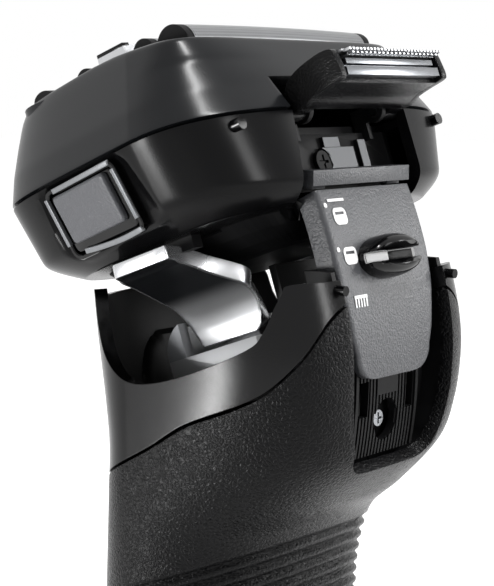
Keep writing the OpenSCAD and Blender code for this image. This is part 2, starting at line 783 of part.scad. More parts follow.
module comb_front() {
  color("#b9bcbf") foil_sheet_piece(inner_front_v, inner_foil_radius, inner_w);
}
module comb_front_holder() {
  color("#0b0b0c") foil_holder_piece(inner_front_v, inner_foil_radius, inner_w);
}
module comb_front_blade() {
  color("#9fa2a5") blade_piece(inner_front_v, inner_foil_radius, inner_w);
}
module slit_guard() {
  color("#d2d4d6") in_head() difference() {
    union() {
      block([-22, -11.2, 13], [22, -5, 18.8]);
      block([-24.2, -11.2, 16.8], [24.2, -5, 18.8]);
    }
    block([-21.4, -10.7, 12], [21.4, -5.5, 18.4]);
    for (i = [-13:13]) translate([1.55 * i - 0.3, -10.3, 17.4]) cube([0.6, 4.4, 3]);
  }
}
module slit_guard_holder() {
  color("#0b0b0c") in_head() difference() {
    block([-24.3, -11.4, 8], [24.3, -4.8, 16.6]);
    block([-22.2, -12, 12.8], [22.2, -4, 20]);
    block([-21.6, -10.8, 6], [21.6, -5.4, 20]);
  }
}
module slit_cutter() {
  color("#9fa2a5") in_head() {
    block([-20, -10.3, 14.4], [20, -5.9, 18]);
    block([-16, -9, 9.5], [16, -7.2, 15.1]);
  }
}

/* ------------------------------ trimmer ----------------------------- */
module trimmer_profile() {
  // Side view: from the pivot out to the cutting edge.
  polygon([[16.4, 2.6], [17.4, 4], [19.5, 5.2], [22.4, 6], [25.4, 6.4], [27.3, 6], [27.9, 4],
    [28.1, 1.9], [27.4, 1.3], [24.7, 0.9], [22, 0.4], [20, -0.4], [17.8, -0.2]]);
}
module trimmer_case() {
  color("#141416") in_head() difference() {
    union() {
      along_x(2 * trimmer_half_width) trimmer_profile();
      both_sides() bar_x(15.5, 0.2, 1.7, 10.8, 14.3);
      both_sides() block([10.8, 15, -1], [14.3, 19, 1.7]);
    }
    // hollow for the cutter and its drive, open towards the cutting edge
    block([-13.3, 20.6, 1.8], [13.3, 27.2, 5]);
    block([-13.3, 26.4, 1.6], [13.3, 30, 9]);
    both_sides() bar_x(15.5, 0.2, 2.5, 9, 10.75);
    block([-9.1, 14, 3.2], [9.1, 19, 7]);
    both_sides() bar_x(15.5, 0.2, 1.12, 8, 13.4);
  }
}
module trimmer_bars() {
  color("#e2e3e5") in_head() {
    block([-11.9, 26.7, 3.75], [11.9, 27.7, 4.65]);
    block([-12.6, 26.7, 1.85], [12.6, 28, 3.25]);
    block([-12.6, 26.5, 1.9], [12.6, 26.8, 4.5]);
  }
}
module trimmer_comb() {
  color("#c9cbcd") in_head() {
    block([-13.2, 26.5, 5.45], [13.2, 28.3, 5.8]);
    for (i = [0:tooth_count - 1])
      translate([-12.9 + 25.8 * (i + 0.5) / tooth_count, 28.8, 5.55]) cube([0.5, 1.3, 0.4], center = true);
  }
}
module trimmer_cutter() {
  color("#a9abae") in_head() {
    block([-11.8, 26.6, 4.95], [11.8, 28.2, 5.25]);
    for (i = [0:20])
      translate([-11.4 + 22.8 * i / 20, 28.6, 5.1]) cube([0.5, 1, 0.26], center = true);
  }
}
module trimmer_pins() {
  color("#d8d9db") in_head() both_sides() bar_x(15.5, 0.2, 1.1, 9, 13.3);
}

base_cap();
base_seal();
base_screws();
charge_pins();
grip_shell();
shoulder_shell();
front_panel();
display_lens();
power_button();
rim_pins();
chassis();
battery_cell();
circuit_board();
track_plate();
track_screw();
neck_mount();
neck_block();
roll_pin();
slide_panel();
slide_bar();
slide_knob();
position_icons();
arm_left();
arm_right();
yoke_hub();
pitch_pins();
head_housing();
bottom_cover();
pivot_blocks();
linear_motor();
drive_posts();
drive_deck();
trimmer_bracket();
bracket_screw();
rear_studs();
button_bezels();
release_button_left();
release_button_right();
foil_frame();
foil_back();
foil_back_holder();
blade_back();
foil_front();
foil_front_holder();
blade_front();
comb_back();
comb_back_holder();
comb_back_blade();
comb_front();
comb_front_holder();
comb_front_blade();
slit_guard();
slit_guard_holder();
slit_cutter();
trimmer_case();
trimmer_bars();
trimmer_comb();
trimmer_cutter();
trimmer_pins();
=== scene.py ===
import bmesh
import bpy
import numpy as np
from mathutils import Matrix, Vector


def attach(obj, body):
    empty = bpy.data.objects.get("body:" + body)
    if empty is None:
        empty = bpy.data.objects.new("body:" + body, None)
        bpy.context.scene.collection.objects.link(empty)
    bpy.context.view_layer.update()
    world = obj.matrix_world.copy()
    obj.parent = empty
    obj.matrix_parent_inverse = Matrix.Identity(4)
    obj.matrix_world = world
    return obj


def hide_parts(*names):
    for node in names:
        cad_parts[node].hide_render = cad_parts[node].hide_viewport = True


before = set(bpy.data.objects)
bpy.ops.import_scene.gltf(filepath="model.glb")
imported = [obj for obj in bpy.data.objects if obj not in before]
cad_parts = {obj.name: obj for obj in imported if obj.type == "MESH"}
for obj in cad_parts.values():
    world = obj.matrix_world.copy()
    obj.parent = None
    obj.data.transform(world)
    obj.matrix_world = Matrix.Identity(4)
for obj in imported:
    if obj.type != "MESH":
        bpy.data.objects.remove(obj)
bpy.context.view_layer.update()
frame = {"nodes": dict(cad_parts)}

bl_info = {
    "name": "Electric shaver finish",
    "version": (1, 0, 0),
    "blender": (4, 5, 0),
    "location": "3D View > Sidebar > Shaver",
    "description": "Dresses the packed electric shaver with smooth mouldings, metal parts and finishes",
    "category": "Object",
}

# Lengths are in millimetres until a mesh is made: x is across, y to the back and z up. The head's
# own frame, (x, v, w), has its origin in the parting line and is tilted forward with the head.
MM = 1000.0  # millimetres in a metre
QUARTER = np.pi / 2

# Handle sections: height, share of the half width, front, back, squareness of the back
HANDLE_ROWS = np.array([
    [0, 0.63, 11.2, 11.2, 2.4], [1.5, 0.73, 13.4, 13.4, 2.4], [5, 0.82, 15.4, 15.2, 2.4],
    [20, 0.91, 17, 16.6, 2.3], [45, 0.975, 17.4, 17.4, 2.2], [66, 0.99, 17.2, 17.9, 2.2],
    [75, 0.992, 16.5, 19.8, 2.3], [80, 0.996, 15.9, 22.5, 2.4], [85, 1, 15.3, 28.1, 2.7],
    [93, 1, 14.8, 34.8, 3.3], [100, 1, 16.2, 36.5, 3.9], [107, 1, 18.1, 36.9, 4.3],
    [112, 1, 19.4, 36.8, 4.3], [118, 0.992, 20.8, 35.9, 4.2], [124, 0.98, 21.9, 34.2, 4.2],
])
FRONT_SQUARENESS = 2.1
# Head sections: height over the parting line, share of the half width, front, back, middle,
# squareness of the front and of the back
HEAD_ROWS = np.array([
    [-14.5, 0.775, -32.6, 15.4, 0.4, 5.5, 3], [-12.6, 0.845, -35.6, 17.5, 1.2, 6, 3],
    [-11, 0.9, -37.4, 18.2, 2, 6.5, 2.9], [0, 1, -38.9, 18.4, 2, 6.5, 2.9],
    [5, 0.946, -38.4, 16, 1.6, 6.5, 2.9], [10, 0.876, -37.6, 13.4, 0.6, 6.5, 3.6],
    [14.5, 0.812, -36.6, 11.1, -0.4, 6.5, 6], [16.5, 0.782, -35.2, 10, -0.4, 6.5, 6],
])
# Side-view lines, (y, z): the groove between shoulder and grip, and the handle's upper rim
GROOVE = [[-40, 74], [-22, 79.5], [-9.5, 86.6], [4.2, 94], [12.5, 99], [23, 103.3],
          [28.5, 106.6], [32.7, 111.6], [34.5, 117], [35.2, 121], [35.6, 126]]
RIM = [[-40, 116], [-17, 116.6], [-12, 118.4], [-9.9, 113.4], [-6.4, 108.3], [-0.6, 104.9],
       [5.5, 105.1], [14.8, 108], [24.5, 112.4], [27.1, 115.4], [29, 120.6], [31.4, 122.7],
       [50, 122.8]]
GROOVE_HALF = 0.3  # half the groove's width
# Half widths up the handle: of the slot in the back, and of the slide panel in it
SLOT_SIDE = [[95.5, 11.9], [99, 13.2], [103, 13.8], [108, 14.05], [128, 14.25]]
SLOT_CORNER = 4.5
PANEL_SIDE = [[110.3, 10.3], [113, 11.2], [120.5, 12.6], [126, 13], [142, 13]]
PANEL_CORNER = 4.0
TRACK_Y, TRACK_Z = -36.0, 106.0  # the axis of the slide panel's curved path
WELL_UNDER = 4.2  # how far the slot's floor lies under that path
HEAD_Y, HEAD_Z = 8.0, 143.3  # the middle of the head's parting line
HEAD_FOOT = -14.5  # the head's flat underside, below the parting line
WINDOW_TOP = 6.2  # the upper edge of the window in the head's back, over the parting line
OPENING = (24.7, 20.1, -10.7)  # the foils' opening: half width, half depth and middle
FOIL_BOW = 900.0  # radius to which the foils are crowned along their length
KNOB_HALF, KNOB_SIDE = 7.1, 3.55  # half length and half width of the thumb knob
KNOB_UP = np.radians(15.8)  # the knob's place up the track
BRACKET_SCREW = (4.2, -7.6)  # across and up, in the trimmer's window
BASE_TOP = 8.0  # the top of the base cap
HANDLE_UNDER, HEAD_UNDER = 0.04, 0.06  # how far the two skins lie under the solids' surfaces
FRONT_PANEL = (61, 16.9, 91.9, 7.9)  # middle height, width, height and corner
DISPLAY = (45, 11, 28, 2.9)  # the same for the display window
POWER_Z, POWER_DISH = 74, 7.6  # the power button's height, and the radius of the dish round it
# The height of the foil frame's deck from front to back
DECK = [[-60, 16.5], [-9, 16.5], [-3, 16.1], [5, 15], [10.5, 14.2], [30, 11.4]]
# The silver arm: its upper side in the head's front view, and its edges in plan
ARM_LINE = [[29.6, -15.4], [27.2, -15.4], [24.6, -15.6], [21.6, -16.6], [18.6, -18.1],
            [15.8, -19.7], [13.2, -21.5], [11.3, -24], [10, -27.2], [9.3, -30.6]]
ARM_FRONT = [[9, -15.6], [11.9, -15.7], [12.5, -16.4], [13.5, -17.1], [14.9, -17.6], [17, -18],
             [19.6, -18.1], [22.5, -18], [25.2, -17.5], [27.5, -16.3], [29.7, -14.3]]
ARM_BACK = [[9, -1.9], [11.9, -1.6], [12.5, -0.9], [13.5, -0.1], [14.9, -0.4], [17, -1.6],
            [19.6, -2.9], [22.5, -3.5], [25.2, -3.6], [27.5, -3], [29.7, -2]]
BUTTON_PLACE = Matrix.Translation((32.55, -12.67, -6.8)) @ Matrix.Rotation(
    np.radians(-8.6), 4, "Z") @ Matrix.Rotation(np.radians(16.7), 4, "Y")


def length_setting(name, description, metres):
    """A setting that is a length."""
    return bpy.props.FloatProperty(name=name, description=description, default=metres,
                                   unit="LENGTH", subtype="DISTANCE")


def colour_setting(name, description, code):
    """A setting that is an sRGB hex colour."""
    return bpy.props.StringProperty(name=name, description=description, default=code)


class ShaverSizes(bpy.types.PropertyGroup):
    grip_half_width: length_setting("Grip half width", "Half width of the grip at its broadest place", 0.027)
    head_half_width: length_setting("Head half width", "Half width of the head at its parting line", 0.0362)
    head_tilt: bpy.props.FloatProperty(
        name="Head tilt", description="Forward tilt of the head in its middle position",
        default=float(np.radians(19.3)), unit="ROTATION", subtype="ANGLE")
    track_radius: length_setting("Track radius", "Radius of the slide panel's curved path", 0.0706)
    handle_wall: length_setting("Handle wall", "Wall thickness of the handle mouldings", 0.0022)
    head_wall: length_setting("Head wall", "Wall thickness of the head mouldings", 0.002)
    arm_thickness: length_setting("Arm thickness", "Thickness of the silver arms", 0.0022)
    edge: length_setting("Edge rounding", "Rounding on the edges of the mouldings", 0.00035)
    rib_pitch: length_setting("Rib pitch", "Distance from one finger rib to the next", 0.0021)
    rib_depth: length_setting("Rib depth", "Depth of the finger ribs", 0.0006)
    rib_count: bpy.props.IntProperty(
        name="Rib count", description="Number of finger ribs", default=12)


class ShaverColours(bpy.types.PropertyGroup):
    shell: colour_setting("Shell", "Colour of the smooth mouldings", "#0a0a0b")
    frame: colour_setting("Foil frame", "Colour of the foil frame", "#141517")
    grip: colour_setting("Grip", "Colour of the soft grip", "#0b0b0c")
    panel: colour_setting("Slide panel", "Colour of the slide panel", "#3e3f42")
    silver: colour_setting("Silver paint", "Colour of the painted arms", "#c2c3c5")


class ShaverStage(bpy.types.PropertyGroup):
    key: bpy.props.FloatProperty(
        name="Key light", description="Power of the long narrow light overhead",
        default=8.0, unit="POWER")
    side: bpy.props.FloatProperty(
        name="Side light", description="Power of each of the lights round the sides",
        default=2.0, unit="POWER")
    room: bpy.props.FloatProperty(
        name="Room", description="Level of the light from all round", default=0.25)


def sizes():
    """The sizes that the panel shows."""
    return bpy.context.scene.shaver_sizes


# ------------------------------------------------------------------ shapes


def spline(points, count=400):
    """A smooth line through side-view points: cubic pieces whose slopes join the neighbours."""
    p = np.asarray(points, float)
    near = np.vstack([p[0], p, p[-1]])
    t = np.linspace(0, len(p) - 1 - 1e-9, count)
    i = t.astype(int)
    u = (t - i)[:, None]
    a, b, c, d = near[i], near[i + 1], near[i + 2], near[np.minimum(i + 3, len(near) - 1)]
    return b + 0.5 * u * ((c - a) + u * ((2 * a - 5 * b + 4 * c - d) + u * (3 * (b - c) + d - a)))


def rows_at(table, key):
    """Rows of a table at a key: cubics through the rows, each slope joining its neighbours."""
    keys, last = table[:, 0], len(table) - 1
    after, before = np.minimum(np.arange(last + 1) + 1, last), np.maximum(np.arange(last + 1) - 1, 0)
    slope = (table[after] - table[before]) / (keys[after] - keys[before])[:, None]
    i = np.clip(np.searchsorted(keys, key, side="right") - 1, 0, last - 1)
    h = (keys[i + 1] - keys[i])[..., None]
    u = (key - keys[i])[..., None] / h
    return ((2 * u**3 - 3 * u**2 + 1) * table[i] + (u**3 - 2 * u**2 + u) * h * slope[i]
            + (3 * u**2 - 2 * u**3) * table[i + 1] + (u**3 - u**2) * h * slope[i + 1])


def rows_between(table, key):
    """Rows of a table at a key, on straight lines from row to row."""
    return np.stack([np.interp(key, table[:, 0], column) for column in table.T], -1)


def step(low, high, x):
    """0 below low, 1 above high and a smooth S between them; low may be the larger."""
    t = np.clip((x - low) / (high - low), 0, 1)
    return t * t * (3 - 2 * t)


def box_distance(x, y, width, height, corner):
    """Distance outside a rounded rectangle round the origin, negative inside it."""
    dx, dy = abs(x) - width / 2 + corner, abs(y) - height / 2 + corner
    return np.hypot(np.maximum(dx, 0), np.maximum(dy, 0)) + np.minimum(np.maximum(dx, dy), 0) - corner


def spread(x, y, z):
    """Points from three coordinates, each spread out to the shape of the largest."""
    return np.stack(np.broadcast_arrays(x, y, z), -1)


def oval(angle, power):
    """Unit oval |x|^n + |y|^n = 1 at an angle."""
    c, q = np.cos(angle), np.sin(angle)
    r = (abs(c) ** power + abs(q) ** power) ** (-1 / power)
    return c * r, q * r


def oval_angle(x, power):
    """The angle at which the unit oval's back has the given x."""
    return np.arctan2(np.maximum(1 - abs(x) ** power, 0) ** (1 / power), x)


def rounded_loop(width, height, corner, count):
    """Points round a rounded rectangle, evenly spaced by angle of a square-ish oval."""
    angle = np.linspace(0, 4 * QUARTER, count, endpoint=False) + np.pi / count
    w, h = width / 2, height / 2
    side = np.stack([np.cos(angle), np.sin(angle)], -1)
    side /= abs(side).max(1)[:, None]
    p = side * [w, h]
    core = np.clip(p, [corner - w, corner - h], [w - corner, h - corner])
    out = p - core
    length = np.maximum(np.linalg.norm(out, axis=1), 1e-9)
    return core + out * np.where(length > 1e-6, corner / length, 0)[:, None]


def foot_half(z, side, corner):
    """Half width of a tall outline at height z: straight pieces above two round lower corners."""
    side = np.asarray(side, float)
    low, half = side[0]
    below = half - corner + np.sqrt(np.maximum(corner**2 - np.minimum(z - low, 0) ** 2, 0))
    return np.where(z < low, below, np.interp(z, side[:, 0], side[:, 1]))


def handle_skin(z, angle, inset=0.0):
    """The handle's skin: at height z an oval with a squarer back; angle 90 degrees is the back."""
    row = rows_at(HANDLE_ROWS, z)
    back = np.sin(angle) > 0
    x, y = oval(angle, np.where(back, row[..., 4], FRONT_SQUARENESS))
    half = row[..., 1] * sizes().grip_half_width * MM - inset - HANDLE_UNDER
    depth = np.where(back, row[..., 3], row[..., 2]) - inset - HANDLE_UNDER
    return spread(half * x, depth * y, z)


def panel_seat(x, z):
    """Depth of the front panel's seat in the handle: full inside a rounded rectangle."""
    middle, width, height, corner = FRONT_PANEL
    return 0.9 * step(0.3, -0.2, box_distance(x, z - middle, width + 0.4, height + 0.4, corner + 0.1))


def handle_angle(z, x):
    """The angle at which the handle's back has the given x at height z."""
    row = rows_at(HANDLE_ROWS, z)
    return oval_angle(x / (row[..., 1] * sizes().grip_half_width * MM), row[..., 4])


def side_angle(z, u):
    """Columns of the handle's side: u 0 is the middle of the front, 1 is the slot's edge."""
    edge = handle_angle(z, np.interp(z, *np.transpose(SLOT_SIDE)))
    return -QUARTER + u * (edge + QUARTER)


def line_height(line, u, low, high):
    """For each column u of the handle's side, the height where it crosses a side-view line."""
    z = np.linspace(low, high, 700)[:, None] + 0 * u
    over = z - np.interp(handle_skin(z, side_angle(z, u))[..., 1], *spline(line).T)
    k, j = np.argmax(over > 0, axis=0), np.arange(z.shape[1])
    part = over[k - 1, j] / (over[k - 1, j] - over[k, j])
    return z[k - 1, j] + part * (z[1, 0] - z[0, 0])


def head_skin(w, angle, inset=0.0):
    """The head's skin at height w over the parting line, an oval that narrows to the front."""
    fine = np.arange(HEAD_FOOT, HEAD_ROWS[-1, 0] + 0.01, 0.25)
    table = soften(rows_between(HEAD_ROWS, fine), 6)  # rounds the bends between the rows
    row = rows_between(table, w)
    back = np.sin(angle) > 0
    x, y = oval(angle, np.where(back, row[..., 6], row[..., 5]))
    half = row[..., 1] * sizes().head_half_width * MM - inset - HEAD_UNDER
    depth = np.where(back, row[..., 3] - row[..., 4], row[..., 4] - row[..., 2]) - inset - HEAD_UNDER
    across = half * x * (1 + 0.12 * np.minimum(y, 0))
    return spread(across, row[..., 4] + depth * y, w)


def window_angle(w, x):
    """The angle at which the head's back has the given x at height w."""
    row = rows_between(HEAD_ROWS, w)
    return oval_angle(x / (row[..., 1] * sizes().head_half_width * MM), row[..., 6])


def window_half(w):
    """Half width of the window in the head's back."""
    return np.interp(w, [-11, 0], [16.2, 15.2])


def in_head(points):
    """Takes points of the head's own frame to the shaver's: the forward tilt, then its place."""
    s, c = np.sin(sizes().head_tilt), np.cos(sizes().head_tilt)
    x, v, w = np.moveaxis(np.asarray(points, float), -1, 0)
    return np.stack([x, HEAD_Y + v * c - w * s, HEAD_Z + v * s + w * c], -1)


def on_track(x, up, out):
    """A point of the curved path: x across, angle up the arc, height out of it."""
    radius = sizes().track_radius * MM + out
    return spread(x, TRACK_Y + radius * np.cos(up), TRACK_Z + radius * np.sin(up))


def between(rows, counts):
    """A grid through rows of points, with a number of even steps from each row to the next."""
    out = [rows[0][None]]
    for a, b, n in zip(rows[:-1], rows[1:], counts):
        t = (np.arange(1, n + 1) / n)[:, None, None]
        out.append(a + (b - a) * t)
    return np.concatenate(out)


def soften(grid, times, first=0):
    """Rounds the bends along a grid's rows by taking each row towards its neighbours."""
    grid = grid.copy()
    for _ in range(times):
        grid[first + 1:-1] = (grid[first:-2] + 2 * grid[first + 1:-1] + grid[first + 2:]) / 4
    return grid


def loft(loops, counts):
    """A grid through closed loops, whose two ends run in to their middle points."""
    first, last = [np.repeat(loop.mean(0)[None], len(loop), 0) for loop in (loops[0], loops[-1])]
    return between([first, *loops, last], [2, *counts, 2])


# ------------------------------------------------------------------ pieces


def quads(grid, wrap=False, flip=False):
    """Points and faces of a grid; rows that climb and columns that turn left face outwards."""
    rows, cols = grid.shape[:2]
    i, j = np.arange(rows - 1)[:, None], np.arange(cols if wrap else cols - 1)[None]
    a, b = i * cols + j, i * cols + (j + 1) % cols
    faces = np.stack([a, b, b + cols, a + cols], -1).reshape(-1, 4)
    return grid.reshape(-1, 3), faces[:, ::-1] if flip else faces


def solid(loops, counts):
    """Points and faces of a closed body in the head's frame, through loops from end to end."""
    return quads(in_head(loft(loops, counts)), wrap=True)


def prism(x0, x1, v, w, steps=1):
    """A closed body in the head's frame: a side-view loop carried from x0 across to x1."""
    return solid([spread(x, np.asarray(v), np.asarray(w)) for x in (x0, x1)], [steps])


def other_side(parts):
    """The mirror images of the parts across the middle plane."""
    return [(p * [-1, 1, 1], f[:, ::-1]) for p, f in parts]


def mirrored(parts):
    """The parts and their mirror images across the middle plane."""
    return parts + other_side(parts)


def new_object(name, data):
    """A new object of the scene, at its origin."""
    thing = bpy.data.objects.new(name, data)
    bpy.context.scene.collection.objects.link(thing)
    return thing


def close_seams(mesh, flat=0.0):
    """Merges a mesh's doubles, and joins faces that meet at less than a flat angle where one is given."""
    shape = bmesh.new()
    shape.from_mesh(mesh)
    bmesh.ops.remove_doubles(shape, verts=shape.verts, dist=2e-6)
    if flat:
        bmesh.ops.dissolve_limit(shape, angle_limit=flat, verts=shape.verts, edges=shape.edges)
    else:
        bmesh.ops.dissolve_degenerate(shape, edges=shape.edges, dist=1e-7)
    shape.to_mesh(mesh)
    shape.free()


def bake(piece):
    """Turns a piece's modifiers into its mesh."""
    graph = bpy.context.evaluated_depsgraph_get()
    mesh = bpy.data.meshes.new_from_object(piece.evaluated_get(graph))
    old, piece.data = piece.data, mesh
    piece.modifiers.clear()
    bpy.data.meshes.remove(old)


def finish_piece(piece, finish, body, nodes=(), slot=None, wall=0, edge=0, crease=40, segments=3,
                 lining=None):
    """Gives a piece its wall and rounded edges, its finish, its body and the nodes it replaces.

    lining is a second finish, for the wall's inner side.
    """
    piece.data.materials.clear()
    for material in filter(None, (finish, lining)):
        piece.data.materials.append(material)
    if wall:
        m = piece.modifiers.new("wall", "SOLIDIFY")
        m.thickness, m.offset, m.material_offset = wall / MM, -1, 1 if lining else 0
    if edge:
        m = piece.modifiers.new("edge", "BEVEL")
        m.width, m.segments, m.limit_method = edge / MM, segments, "ANGLE"
        m.angle_limit, m.use_clamp_overlap = np.radians(crease), True
    bake(piece)
    mesh = piece.data
    mesh.polygons.foreach_set("use_smooth", np.ones(len(mesh.polygons), bool))
    mesh.set_sharp_from_angle(angle=np.radians(34))
    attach(piece, body)
    if nodes:
        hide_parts(*nodes)
    return piece


def make_piece(name, parts, finish, body, **facts):
    """One object from parts of (points, faces) in millimetres, with their seams closed."""
    points, faces, start = [], [], 0
    for p, f in parts:
        points.append(p)
        faces.extend((f + start).tolist())
        start += len(p)
    mesh = bpy.data.meshes.new(name)
    mesh.from_pydata((np.concatenate(points) / MM).tolist(), [], faces)
    close_seams(mesh)
    return finish_piece(new_object(name, mesh), finish, body, **facts)


def soft_copy(name, node, finish, body, edge, slot=None):
    """A copy of a flat-sided solid with its loose triangles joined and its edges rounded."""
    mesh = frame["nodes"][node].data.copy()
    close_seams(mesh, flat=np.radians(0.6))
    return finish_piece(new_object(name, mesh), finish, body, nodes=[node], slot=slot, edge=edge,
                        segments=2)


# ------------------------------------------------------------------ finishes


def linear(code):
    """An sRGB hex colour as linear red, green, blue and alpha."""
    c = np.array([int(code[i:i + 2], 16) for i in (1, 3, 5)]) / 255
    return (*np.where(c <= 0.04045, c / 12.92, ((c + 0.055) / 1.055) ** 2.4), 1.0)


def add(tree, kind, values=None, links=None, **settings):
    """Adds one node with its settings, input values and incoming links."""
    node = tree.nodes.new(kind)
    for name, value in settings.items():
        setattr(node, name, value)
    for name, value in (values or {}).items():
        node.inputs[name].default_value = value
    for name, socket in (links or {}).items():
        tree.links.new(socket, node.inputs[name])
    return node


def grain_of(mm):
    """Texture scale for a grain of that many millimetres."""
    return MM / mm


FINISHES = {}


def surface(name, code, roughness, metallic=0.0, specular=0.5, grain=0.3, depth=0.02,
            mottle=0.12, leather=0.0, brushed=None, coat=0.0, ior=1.5, painted_shade=None):
    """A finish: base colour with a faint mottle, uneven roughness and a fine relief.

    grain and leather are real sizes in millimetres, depth is the relief's height in millimetres.
    painted_shade is a dark colour painted on as shade, and the two heights in the head's frame over which it
    takes over.
    """
    if name in FINISHES:
        return FINISHES[name]
    mat = bpy.data.materials.new(name)
    mat.use_nodes = True
    tree = mat.node_tree
    shader = tree.nodes["Principled BSDF"]
    shader.inputs["Metallic"].default_value = metallic
    shader.inputs["Specular IOR Level"].default_value = specular
    if not metallic:
        shader.inputs["IOR"].default_value = ior
    shader.inputs["Coat Weight"].default_value = coat
    shader.inputs["Coat Roughness"].default_value = 0.08
    place = add(tree, "ShaderNodeTexCoord").outputs["Object"]
    if brushed:
        place = add(tree, "ShaderNodeMapping", {"Scale": brushed}, {"Vector": place}).outputs[0]
    patch = add(tree, "ShaderNodeTexNoise", {"Scale": grain_of(9), "Detail": 3.0}, {"Vector": place})
    tone = np.array(linear(code))
    tint = add(tree, "ShaderNodeMix", None, {"Factor": patch.outputs["Fac"]}, data_type="RGBA")
    tint.inputs[6].default_value = (*(tone[:3] * (1 - mottle)), 1)
    tint.inputs[7].default_value = (*np.minimum(tone[:3] * (1 + mottle), 1), 1)
    colour = tint.outputs[2]
    # Painted shade: above a height in the head's frame the colour turns dark and the metal dull
    if painted_shade:
        s, c = np.sin(sizes().head_tilt), np.cos(sizes().head_tilt)
        start = (-s * HEAD_Y + c * HEAD_Z) / MM
        height = add(tree, "ShaderNodeVectorMath", {1: (0, -s, c)}, {0: place}, operation="DOT_PRODUCT")
        share = add(tree, "ShaderNodeMapRange", {"From Min": start + painted_shade[1], "From Max": start + painted_shade[2]},
                    {"Value": height.outputs["Value"]}, interpolation_type="SMOOTHSTEP").outputs[0]
        over = add(tree, "ShaderNodeMix", None, {"Factor": share}, data_type="RGBA")
        over.inputs[7].default_value = linear(painted_shade[0])
        tree.links.new(colour, over.inputs[6])
        colour = over.outputs[2]
        metal = add(tree, "ShaderNodeMapRange", {"To Min": metallic, "To Max": 0.1}, {"Value": share})
        tree.links.new(metal.outputs[0], shader.inputs["Metallic"])
    tree.links.new(colour, shader.inputs["Base Color"])
    rough = add(tree, "ShaderNodeMapRange", {"To Min": roughness * 0.88, "To Max": min(roughness * 1.12, 1)},
                {"Value": patch.outputs["Fac"]})
    tree.links.new(rough.outputs[0], shader.inputs["Roughness"])
    if depth:
        fine = add(tree, "ShaderNodeTexNoise", {"Scale": grain_of(grain), "Detail": 2.0, "Roughness": 0.6},
                   {"Vector": place})
        height = fine.outputs["Fac"]
        if leather:
            # The cells' outlines are pushed about by up to 0.4 mm
            warp = add(tree, "ShaderNodeVectorMath", {1: (0.4 / MM,) * 3}, {0: fine.outputs["Color"]},
                       operation="MULTIPLY")
            moved = add(tree, "ShaderNodeVectorMath", None, {0: place, 1: warp.outputs[0]})
            cells = add(tree, "ShaderNodeTexVoronoi", {"Scale": grain_of(leather), "Randomness": 0.95},
                        {"Vector": moved.outputs[0]}, feature="DISTANCE_TO_EDGE")
            pebble = add(tree, "ShaderNodeMapRange", {"From Max": 0.28}, {"Value": cells.outputs["Distance"]},
                         interpolation_type="SMOOTHSTEP")
            height = add(tree, "ShaderNodeMath", {2: 0.0}, {0: pebble.outputs[0], 1: fine.outputs["Fac"]},
                         operation="MULTIPLY_ADD").outputs[0]
        relief = add(tree, "ShaderNodeBump", {"Strength": 1.0, "Distance": depth / MM}, {"Height": height})
        tree.links.new(relief.outputs["Normal"], shader.inputs["Normal"])
    FINISHES[name] = mat
    return mat


